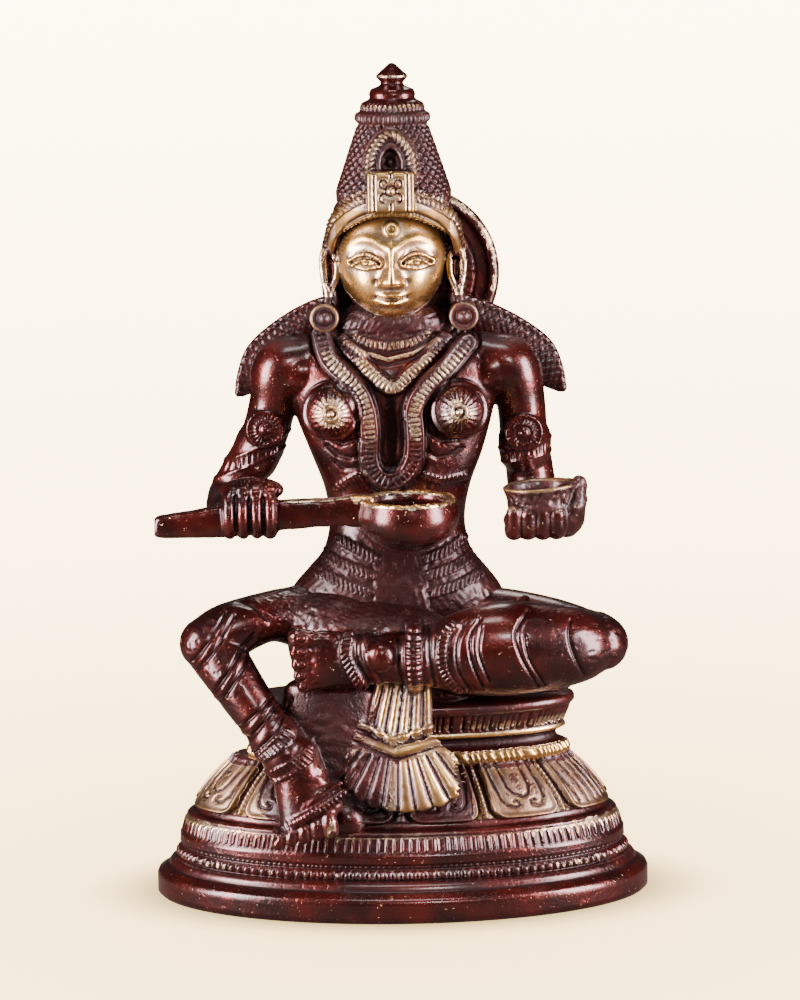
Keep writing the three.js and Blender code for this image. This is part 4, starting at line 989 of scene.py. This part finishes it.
# Hands, ladle and pot
# Her right fist grips a ladle by its flat handle and her left palm carries a small pot. Both
# vessels are open above and are cast with the hands.
HAND_CELL = 0.27
LADLE_CENTRE = (2.3, -17.15, 42.6)
POT_CENTRE = (27.6, -20.0, 45.4)
POT_TILT = 0.07
FINGER_PITCH = 2.65
FIRST_FINGER_X = -32.3


def vessel(rows, sides=72, steps=6):
    """A turned hollow vessel: rows of (radius, height) up its outside, over the rim and down its
    inside, spun round an upright axis."""
    profile = through([(r, 0, z) for r, z in rows], steps)
    radius, height, turn = profile[:, :1], profile[:, 2:], turns(sides)
    return skin(np.stack([radius * np.cos(turn), radius * np.sin(turn), height + 0 * turn], -1))


def boxed(x, y, wide, deep, corner, sides=64):
    """The rings of a superellipse, whose cosine and sine are raised to a corner power."""
    cosine, sine = (np.sign(v) * np.abs(v) ** corner for v in (np.cos(turns(sides)), np.sin(turns(sides))))
    return x + wide * cosine, y + deep * sine


ladle_points, ladle_faces = vessel(
    [
        (0.5, -10.2), (3.4, -10.1), (7.1, -8.2), (9.3, -5.4), (9.75, -3.2), (9.3, -0.9), (9.15, -0.3),
        (8.9, 0.0), (8.2, 0.0), (7.8, -0.3), (7.3, -1.4), (7.4, -3.4), (6.4, -5.8), (4, -7.4),
        (0.5, -7.9),
    ]
)
pot_points, pot_faces = vessel(
    [
        (0.5, -7.2), (4.4, -7.1), (5.8, -4.6), (6.1, -2.4), (6.4, -1.0), (6.9, -0.2), (6.6, 0.05),
        (6.1, 0.0), (5.7, -0.4), (5.3, -1.6), (5.2, -3.2), (4.2, -5.2), (0.5, -6.1),
    ]
)
pot_points = pot_points * (1.07, 0.96, 1)
pot_points += pot_points[:, :1] * (0, 0, POT_TILT)

# The handle's rows are (x, y, z, half thickness, half height), along -X from the bowl.
x, y, z, thick, high = through(
    [
        (-4.4, -17.4, 40.3, 1.9, 3.0), (-8.5, -17.6, 40.3, 2.0, 3.15), (-9.6, -17.7, 40.3, 1.9, 3.0),
        (-11.4, -17.8, 40.2, 1.7, 2.8), (-22, -18.2, 39.8, 1.8, 2.9), (-33, -18.7, 38.9, 2.0, 3.1),
        (-41, -18.9, 38.3, 1.95, 2.5), (-46.3, -19.1, 38.0, 1.7, 2.0), (-46.75, -19.1, 37.95, 1.4, 1.6),
    ],
    6,
).T[..., None]
sides_y, sides_z = boxed(y, z, thick, high, 0.5, 48)
handle = skin(np.stack([x + 0 * sides_y, sides_y, sides_z], -1))
hands = [
    egg((-28.4, -15.4, 41), (5.0, 3.8, 4.2)), egg((-28.0, -16.4, 44.4), (6.3, 4.2, 2.5)),
    tube([(-30.6, -11, 41.2, 3.6), (-29.6, -14, 41.2, 3.8, 1.15)]),
]
for k in range(4):
    x = FIRST_FINGER_X + FINGER_PITCH * k
    rows = [
        (x, -15, 44.0, 1.3), (x, -19, 43.7, 1.25), (x, -20.9, 40.6, 1.3), (x, -20.4, 38, 1.25),
        (x, -18.6, 36.4, 1.2),
    ]
    hands.append(tube(rows, up=(1, 0, 0), sides=24))
hands += [
    tube(
        [(-24.6, -13.6, 41, 1.6), (-23.4, -17, 38.6, 1.5), (-24.6, -19.4, 36.6, 1.3)],
        up=(1, 0, 0), sides=24,
    ),
    egg((27.6, -16, 38.4), (6, 5.4, 3.8)), tube([(26.9, -10, 38.2, 3.7), (27.4, -13.4, 38.6, 4.1, 1.25)]),
]
for k in range(4):
    x = 30.6 - 2.75 * k
    rows = [
        (x, -15, 37.4, 1.7), (x, -20.5, 36.4, 1.8), (x, -23.2, 37.2, 1.75),
        (x, -24.3, 40.0 + 0.5 * (k % 2), 1.55),
    ]
    hands.append(tube(rows, up=(1, 0, 0), sides=24))
hands += [
    egg((27.4, -19.6, 38.4), (7.0, 4.6, 3.4)), egg((32.4, -18.6, 39.6), (3.9, 5.4, 5.0)),
    tube(
        [(32.2, -21.4, 38.4, 2.4), (34.2, -21.4, 41.8, 2.2), (35.0, -20.0, 45.4, 1.6)],
        up=(0, 1, 0), sides=24,
    ),
    (ladle_points + LADLE_CENTRE, ladle_faces), handle, (pot_points + POT_CENTRE, pot_faces),
]


def carve_hands(x, y, z, normals):
    """Gaps between the fingers of the fist, and rough bands below the pot's rim and on the hands."""
    place = (x - FIRST_FINGER_X + FINGER_PITCH / 2) % FINGER_PITCH
    fist = (x < -21) & (y < -15) & (z > 34) & (x > -33) & (normals[:, 1] < -0.3)
    relief = -0.4 * fist * (hump(place, 0.3) + hump(place - FINGER_PITCH, 0.3))
    pot = (np.hypot(x - POT_CENTRE[0], y - POT_CENTRE[1]) > 5.6) & (z > 42)
    band = pot * smooth(41, 42, z) * smooth(45.0, 44.4, z - POT_TILT * (x - POT_CENTRE[0]))
    away = np.hypot(x - LADLE_CENTRE[0], y + 17.4) > 12
    return relief + 0.16 * band * roughness(x, y, z, 1.3, 12) + 0.06 * away * roughness(x, y, z, 2.4, 31)


def finish_hands(x, y, z, normals):
    """Both rims and the handle's upper edge are rubbed bright."""
    away = np.hypot(x - LADLE_CENTRE[0], y + 17.4)
    rim = smooth(-1.1, -0.3, z - LADLE_CENTRE[2]) * (away < 11) * smooth(6.6, 7.4, away)
    pot_rim = (
        smooth(-1.0, -0.3, z - POT_CENTRE[2] - POT_TILT * (x - POT_CENTRE[0]))
        * (np.hypot(x - POT_CENTRE[0], y + 20.2) < 8) * (x < 33.4)
    )
    edge = 0.35 * (x < -8) * (x > -22) * smooth(0.3, 0.8, normals[:, 2]) * (y < -18)
    tips = 0.25 * hump(z - 41.4, 0.8) * (x > 20) * (y < -23)
    return np.clip(0.9 * rim + 0.6 * pot_rim + edge + tips, 0, 1), 0.7 * (x > 18) * smooth(40, 41.5, z)


add_cast("hands_ladle_and_pot", hands, HAND_CELL, 2, carve_hands, finish_hands, 92000)

# Head and crown
# A calm, evenly proportioned face, rubbed bright, under a tall conical crown with a diadem, a square
# plaque and a rope arch. The lobes are stretched and carry round earrings.
HEAD_CELL = 0.23
FACE_MIDDLE = -0.4
HALF_WIDTH = 11
EARRING_X, EARRING_Z = 13.6, 76
EYE_X, PUPIL_Z, MARK_Z = 4.9, 87.45, 93.6
PLAQUE_X = -0.25

# Lines of the face on its right half, as (distance from the middle, height): eyes midway between brow
# and nose foot, each a fifth of the head wide, and the mouth a third of the way from nose to chin.
UPPER_LID = [(2.2, 87.1), (3.2, 87.9), (4.9, 88.35), (6.4, 88.0), (7.7, 87.2)]
LOWER_LID = [(2.2, 87.1), (3.4, 86.65), (4.9, 86.4), (6.4, 86.65), (7.7, 87.2)]
LID_FOLD = [(2.6, 88.4), (3.6, 89.2), (5.0, 89.5), (6.6, 89.1), (7.9, 88.1)]
BROW = [(1.5, 90.3), (3.2, 91.5), (5.4, 91.9), (7.6, 91.2), (9.2, 89.8)]
LIPS = [(0, 80.05), (0.7, 79.95), (1.6, 80.1), (3.1, 80.35)]

# Its forms, as (share, distance from the middle, width, height, reach): sockets, eyeballs, nostrils,
# cheeks, muzzle, both lips, the groove over them, chin, the dip over it, and jaw.
FACE_FORMS = (
    (-1.15, 4.4, 3.0, 88.4, 2.1), (1.0, 4.9, 2.4, 87.7, 1.5), (0.9, 1.8, 0.75, 83.4, 0.8),
    (0.6, 5.6, 3.0, 82.8, 3.2), (0.9, 0, 4.0, 79.8, 3.0), (0.95, 0.9, 1.7, 80.8, 0.6),
    (1.1, 0, 2.0, 79.1, 0.7), (-0.2, 0, 0.5, 82, 0.7), (0.9, 0, 2.6, 76.8, 1.5),
    (-0.35, 0, 2.0, 78.1, 0.5), (0.5, 6.4, 2.2, 79.0, 2.6),
)


def face_relief(x, z):
    """Forward relief of a face on even thirds, brow at 91, nose foot at 83 and chin at 75: bells for
    the features, and bells over the distance to a line for lids, brows and lips."""
    side = np.abs(x - FACE_MIDDLE)
    upper, lower, brow, lips = (to_line(side, z, line)[0] for line in (UPPER_LID, LOWER_LID, BROW, LIPS))
    relief = sum(s * hump(side - a, wide) * hump(z - b, high) for s, a, wide, b, high in FACE_FORMS)
    relief += 0.45 * hump(upper - 0.55, 0.45) + 0.25 * hump(lower - 0.3, 0.4) + 0.5 * hump(brow, 0.8)
    relief += 0.12 * hump(np.hypot(side - EYE_X, z - PUPIL_Z), 0.6) - 0.5 * hump(lips, 0.28)
    bridge = window(z, 82.1, 83.3, 89.5, 92.5) * (2.9 - 1.9 * smooth(83.4, 91, z))
    relief += (
        bridge * hump(side, 1.1 + 0.6 * smooth(88, 83.6, z))
        - 0.35 * hump(np.hypot(side - 3.0, z - 83.6), 0.5)
    )
    return relief - 0.3 * hump(np.hypot(side - 3.4, z - 80.4), 0.5)


def face_lines(x, z):
    """Fine cuts and rolls of the face: bells over the distance to the lids, the fold, the mouth and
    the nostrils' edges, and a ring for the pupil."""
    side = np.abs(x - FACE_MIDDLE)
    upper, lower, fold, lips = (to_line(side, z, line)[0] for line in (UPPER_LID, LOWER_LID, LID_FOLD, LIPS))
    cuts = (
        0.45 * hump(upper, 0.24) + 0.25 * hump(lower, 0.2) + 0.3 * hump(fold, 0.22) + 0.4 * hump(lips, 0.22)
    )
    cuts += 0.2 * hump(np.hypot(side - EYE_X, z - 87.4) - 0.75, 0.18)
    cuts += 0.15 * hump(np.hypot(side - 3.0, z - 83.6) - 0.2, 0.3)
    return 0.3 * hump(upper - 0.5, 0.28) + 0.18 * hump(lower - 0.4, 0.25) - cuts


def skull(columns=220, rows=150):
    """The head: an egg whose front is pushed forwards by the face's relief."""
    fall = (np.arange(1, rows) / rows * np.pi)[:, None]
    turn = turns(columns) - 0.5 * np.sin(turns(columns))
    z = 88 - 13.6 * np.cos(fall) + 0 * turn
    x = FACE_MIDDLE + HALF_WIDTH * np.sin(fall) * np.sin(turn) * (1 - 0.07 * smooth(84, 76, z))
    ahead = np.cos(turn)
    y = 0.4 - np.where(ahead > 0, 10.2, 10.4) * np.sin(fall) * ahead
    return skin(np.stack([x, y - np.clip(ahead, 0, 1) ** 0.7 * face_relief(x, z), z], -1))


def crown_lean(z):
    """How far back the crown's axis lies at a height."""
    return 0.4 + 0.09 * (z - 90)


head = [
    skull(),
    ovals([(-0.4, 1.6, 72, 8.4, 6.6, 6.4), (-0.4, 1.4, 76, 7.6, 6.2, 6.6), (-0.4, 1.4, 80, 7.4, 6, 6.6)]),
]
EAR = (
    [
        (11.0, 0.0, 89.2, 0.6), (12.2, -1.4, 90.2, 0.75), (13.4, -2.2, 88.6, 0.85),
        (13.7, -2.4, 85.8, 0.8), (13.3, -2.6, 82.8, 0.8), (12.7, -2.8, 80.6, 1.0),
        (13.0, -2.4, 78.6, 0.9),
    ],
    [(11.9, -1.6, 89.6, 0.6), (11.1, -2.6, 87.0, 0.65), (11.1, -3.0, 84.0, 0.65), (12.2, -2.9, 81.2, 0.7)],
    [(11.0, 1.6, 89, 1.2, 1.6), (11.8, 0.6, 84, 1.0, 1.6), (12.2, 0.2, 78, 1.0, 1.4)],
)
for side in (-1, 1):
    head += [tube([(side * x, *rest) for x, *rest in rows], up=(1, 0, 0), sides=20) for rows in EAR]
    earring = [(side * EARRING_X, 2, EARRING_Z, 2.7), (side * EARRING_X, -2.6, EARRING_Z, 3.0)]
    head.append(tube(earring, up=(1, 0, 0), sides=40, steps=4))

# The crown's rows are (radius, height) of an oval, a little narrower from front to back.
crown_rows = [
    (10.6, 97), (11.2, 98.4), (11.3, 100.4), (8.9, 107.5), (7.2, 112.4), (6.6, 113.2), (7.3, 113.7),
    (7.5, 114.4), (7.3, 115.2), (6.3, 115.6), (6.4, 116.4), (6.0, 117.2), (4.3, 118), (4.6, 118.8),
    (4.2, 119.8), (2.4, 120.5), (2.1, 121.0), (3.1, 122.1), (3.15, 122.4), (1.6, 123.8), (0.4, 124.9),
]
radius, z = fill(crown_rows, [4] * (len(crown_rows) - 1)).T[..., None]
turn = turns(160)
across, behind = 0.3 + radius * np.cos(turn), crown_lean(z) + 0.9 * radius * np.sin(turn)
head.append(skin(np.stack([across, behind, z + 0 * turn], -1)))
head += [egg((0.1, 3.6, 90.6), (13.2, 9.2, 13.2), 80, 40), egg((0.1, 3.2, 82.8), (12.9, 5.4, 9.2), 64, 40)]
head += [egg((x, 0.5, 83), (2.0, 2.5, 7.2)) for x in (-12.1, 12.3)]
DIADEM = [
    (-12.6, 0, 89), (-10.8, -5, 94.6), (-5, -9.4, 98.4), (0, -10.2, 99), (5, -9.4, 98.2),
    (11.4, -5, 94.2), (13, 0, 88.6),
]
head.append(tube([(*station, 2.5, 0.5) for station in DIADEM], sides=40))
head.append(tube([(x, y - 0.5, z - 2.3, 0.55, 1.1) for x, y, z in DIADEM], sides=20))
plaque_rows = [
    (-9.0, 97.0, 4.4, 2.4), (-9.0, 97.5, 4.7, 2.8), (-8.0, 104.4, 4.6, 2.8), (-7.8, 104.9, 4.3, 2.4),
]
y, z, wide, deep = fill(plaque_rows, [6] * 3).T[..., None]
sides_x, sides_y = boxed(PLAQUE_X, y, wide, deep, 0.35)
head.append(skin(np.stack([sides_x, sides_y, z + 0 * sides_x], -1)))
ARCH = [
    (-4.4, -8.4, 104.5), (-4.0, -7.8, 108), (-2.2, -7.2, 110.8), (-0.2, -6.8, 111.8), (1.8, -7.2, 110.8),
    (3.7, -7.8, 108), (4.1, -8.4, 104.5),
]
INNER_ARCH = [
    (-2.6, -8.0, 104.5), (-2.6, -7.6, 106.8), (-1.6, -7.2, 108.9), (-0.2, -7.0, 109.6),
    (1.3, -7.2, 108.9), (2.3, -7.6, 106.8), (2.3, -8.0, 104.5),
]
head.append(tube([(*station, 0.95) for station in ARCH], up=(0, 1, 0), sides=28))
head.append(tube([(*station, 0.7) for station in INNER_ARCH], up=(0, 1, 0), sides=20))
arch_line, diadem_line = seen(ARCH), seen(DIADEM)


def carve_head(x, y, z, normals):
    """Diadem, plaque, arch and crown hatching, the brow mark, earrings, face and combed hair."""
    ahead = smooth(0.0, 0.3, -normals[:, 1])
    distance, along, left = to_line(x, z, diadem_line)
    strokes = 0.35 * notched((along + 0.35 * left) / 0.95, 0.6) * smooth(0.7, 1.1, left)
    strokes += 0.3 * notched(along / 0.8, 0.8) * hump(left + 2.3, 0.55)
    strokes += 0.3 * hump(left + 1.55, 0.3) + 0.25 * hump(left - 0.75, 0.22)
    relief = -strokes * ((y < -1) & (z < 103) & (z > 87) & (distance < 3.4))
    beside = np.abs(x - PLAQUE_X)
    plaque = (beside < 4.9) & (z > 97) & (z < 105.2) & (y < -8)
    middle = z - 101.2
    pattern = 0.35 * hump(beside - 4.1, 0.35) - 0.4 * hump(beside - 3.2, 0.25)
    crescent = np.hypot(beside - 1.35, np.abs(middle) - 1.35)
    pattern -= 0.4 * hump(crescent - 0.8, 0.25) * smooth(-0.5, 0.2, beside - 1.3 + 0.5 * (middle > 0))
    boss = np.hypot(beside, middle)
    pattern += (
        0.4 * hump(boss, 0.5) - 0.35 * hump(boss - 0.95, 0.2)
        - 0.35 * hump(beside, 0.25) * (np.abs(middle) > 2.3)
    )
    relief = np.where(plaque & (normals[:, 1] < -0.5), pattern, relief)
    distance, along, left = to_line(x, z, arch_line)
    rope = (distance < 1.25) & (y < -5) & (z > 104.6) & (ahead > 0.1)
    relief = np.where(rope, -0.38 * notched((along + 0.5 * left) / 1.05), relief)
    curl = np.hypot(x + 0.2, z - 106.4)
    relief += (curl < 2.2) * (y < -6) * (z > 105) * (0.5 * hump(curl, 0.6) - 0.3 * hump(curl - 1.1, 0.25))
    body = (z > 99.5) & (z < 113.2) & ~plaque & (distance > 1.2) & ((distance > 1.5) | (z > 112.4))
    body &= ~((np.abs(x + 0.2) < 4.2) & (z < 111) & (y < -4))
    turn = np.arctan2(x - 0.3, -(y - crown_lean(z)))
    rows_down = np.pi * (z - 100) / 1.75
    hatch = np.minimum(np.abs(np.sin(13 * turn + rows_down)), np.abs(np.sin(13 * turn - rows_down)))
    upright = smooth(0.2, 0.5, np.abs(normals[:, 0]) + np.abs(normals[:, 1]))
    relief -= 0.5 * body * smooth(0.6, 0.0, hatch) * upright
    rings = (z > 113.4) & (z < 115.4)
    relief -= 0.4 * rings * notched(20 * turn / np.pi, 0.6) * smooth(0.1, 0.5, hump(z - 114.4, 0.8))
    relief -= 0.3 * ((z > 115.7) & (z < 117.4)) * notched(18 * turn / np.pi, 0.6)
    mark = np.hypot(x + 0.3, z - MARK_Z)
    relief += (y < -8) * (z < 96.5) * (z > 91.5) * (0.45 * smooth(1.7, 1.2, mark) - 0.3 * hump(mark, 0.5))
    away = np.hypot(np.abs(x) - EARRING_X, z - EARRING_Z)
    rings = 0.35 * hump(away - 2.5, 0.35) - 0.5 * hump(away - 1.75, 0.4) + 0.45 * hump(away, 0.8)
    relief += (away < 3.8) * (y < -4) * rings
    relief += (z > 76) * (z < 92) * (np.abs(x) < 10) * smooth(-5, -6.5, y) * face_lines(x, z)
    return relief - 0.35 * ((z > 78) & (z < 99) & (y > 1)) * notched(x / 1.5, 0.6) * smooth(1, 3, y)


def finish_head(x, y, z, normals):
    """The face is rubbed bright, the diadem, plaque, arch and ear rims partly, the rest is dark, and painted
    shade darkens the neck under the chin.
    """
    face = smooth(-1.8, -2.6, y) * smooth(75.7, 76.2, z - 0.06 * x**2) * (z < 97.5) * (np.abs(x) < 11.2)
    from_diadem, from_arch = to_line(x, z, diadem_line)[0], to_line(x, z, arch_line)[0]
    diadem = 0.8 * smooth(3.0, 2.4, from_diadem) * smooth(-1, -3, y) * (z > 88)
    plaque = 0.85 * (np.abs(x - PLAQUE_X) < 4.8) * (z > 97.2) * (z < 105) * (y < -9)
    ears = 0.32 * (np.abs(x) > 10.6) * (z > 80) * (z < 90.4) * (y < -2.0)
    rings = 0.75 * smooth(2.1, 2.5, np.hypot(np.abs(x) - EARRING_X, z - EARRING_Z)) * (y < -4) * (z < 80)
    top = 0.4 * hump(z - 122.3, 0.3) + 0.5 * hump(z - 116.5, 0.5)
    top += 0.12 * (np.hypot(x + 0.2, z - 106.6) < 2.4) * (y < -5)
    arch = 0.5 * (from_arch < 1.3) * (y < -6)
    favour = np.max([2.4 * face, diadem, plaque, arch, ears, rings * np.where(x < 0, 1, 0.45), top], axis=0)
    bloom = 0.85 * (1 - face) * (z < 80) + 0.4 * (y > 0) * (z < 98) + 0.75 * (z > 97) * (z < 116.5)
    bloom += 0.5 * (diadem > 0) * (z < 97) - 0.5 * face - 0.35 * (plaque > 0)
    side = np.abs(x - FACE_MIDDLE)
    lines = (
        0.9 * hump(np.hypot(side - EYE_X, z - PUPIL_Z), 0.5)
        + 0.6 * hump(side - 1.5, 0.5) * hump(z - 82.6, 0.3)
    )
    for line, share, wide in (
        (UPPER_LID, 1.1, 0.32), (LOWER_LID, 0.5, 0.25), (LID_FOLD, 0.35, 0.25), (BROW, 0.5, 0.3),
        (LIPS, 0.7, 0.25),
    ):
        lines += share * hump(to_line(side, z, line)[0], wide)
    mark = np.hypot(side, z - MARK_Z)
    lines += 0.6 * hump(mark, 0.6) + 0.5 * hump(mark - 1.6, 0.3)
    edge = 0.6 * smooth(8.4, 10.2, side) + 0.85 * smooth(94.2, 96.2, z + 0.03 * side**2)
    # Painted shade on the neck under the chin.
    shade = 0.6 * smooth(76.0, 75, z) * (z > 70) * (np.abs(x) < 10.4)
    shade += 0.25 * window(z, 99.5, 101, 112, 114) * (from_diadem > 2.6)
    return favour, np.clip(bloom, -0.6, 0.85), shade + face * ((y < -6) * lines + edge)


add_cast("head_and_crown", head, HEAD_CELL, 2, carve_head, finish_head)

# Disc and shoulder hair
# A round disc on a short stem behind the head, and hair that falls over the upper back and ends in
# a hatched lock outside each shoulder, all cast with the figure.
DISC_CELL = 0.3
DISC_CENTRE = np.array([3.7, 11.6, 82.8])
LOCK = [
    (9, 4, 77.2, 2.8), (15, 5.6, 74.4, 3.6), (21.4, 5.4, 70.0, 4.2), (26.4, 4.8, 65.8, 3.9),
    (29.0, 4.2, 62.2, 2.5), (30.6, 4, 59.8, 0.7),
]

# The disc's rows are (radius, depth), spun round an axis from front to back.
disc_rows = [
    (1, -0.5), (14.2, -0.5), (14.8, -0.6), (15.6, -1.25), (16.6, -1.2), (17.3, -0.5), (17.4, 0.2),
    (17.0, 0.9), (16.2, 1.25), (1, 1.2),
]
radius, depth = fill(disc_rows, [4] * (len(disc_rows) - 1)).T[..., None]
turn = turns(180)
disc = skin(np.stack([radius * np.cos(turn), depth + 0 * turn, radius * np.sin(turn)], -1) + DISC_CENTRE)
hair = [disc, tube([(0, 6, 84, 5), (1.5, 11.6, 84, 4.4)], sides=40), egg((0, 6, 68), (19, 3.4, 8.5), 80, 40)]
lock_lines = []
for side, outer in ((-1, 0), (1, 2.2)):
    rows = [(side * (x + outer * smooth(9, 28, x)), y, z, r, 0.42) for x, y, z, r in LOCK]
    hair.append(tube(rows, up=(side * 0.5, 0, 1), sides=44))
    hair.append(
        tube([(x + side * 0.55 * r, y - 0.2, z + 0.8 * r, 0.85) for x, y, z, r, flat in rows], sides=20)
    )
    lock_lines.append((side, seen(rows)))


def carve_hair(x, y, z, normals):
    """Slanted hatching on the locks, combed lines down the back and rings on the disc."""
    relief = np.zeros(len(x))
    for side, line in lock_lines:
        distance, along, left = to_line(x, z, line)
        strokes = 0.3 * notched((along - 0.5 * side * left) / 1.5, 0.6)
        strokes += 0.12 * notched((along + 0.9 * side * left) / 1.5, 0.6)
        relief -= (
            (x * side > 9) * (distance < 5) * (y < 9) * strokes * smooth(0.1, 0.4, np.abs(normals[:, 1]))
        )
    relief -= 0.4 * ((np.abs(x) < 18) & (y > 6) & (z < 77)) * notched(x / 1.8, 0.6)
    x, z = x - DISC_CENTRE[0], z - DISC_CENTRE[2]
    away = np.hypot(x, z)
    plate = (away > 5) & (away < 18) & (y > 10)
    rays = 0.22 * notched(24 * np.arctan2(z, x) / np.pi, 0.6) * hump(away - 10.5, 1.6)
    return relief - plate * (0.25 * hump(away - 12.6, 0.3) + 0.25 * hump(away - 8.4, 0.3) + rays)


def finish_hair(x, y, z, normals):
    """The locks are dark with rubbed edges, the disc is a dull dark red."""
    rim = hump(np.hypot(x - DISC_CENTRE[0], z - DISC_CENTRE[2]) - 16.6, 0.9) * (z >= 79)
    favour = 0.04 * (z < 80) * smooth(0.2, 0.7, -normals[:, 1]) + 0.24 * rim
    return favour, 0.3 + 0.15 * (z < 79), 0.4 * (z < 79)


add_cast("disc_and_hair", hair, DISC_CELL, 3, carve_hair, finish_hair, 72000)
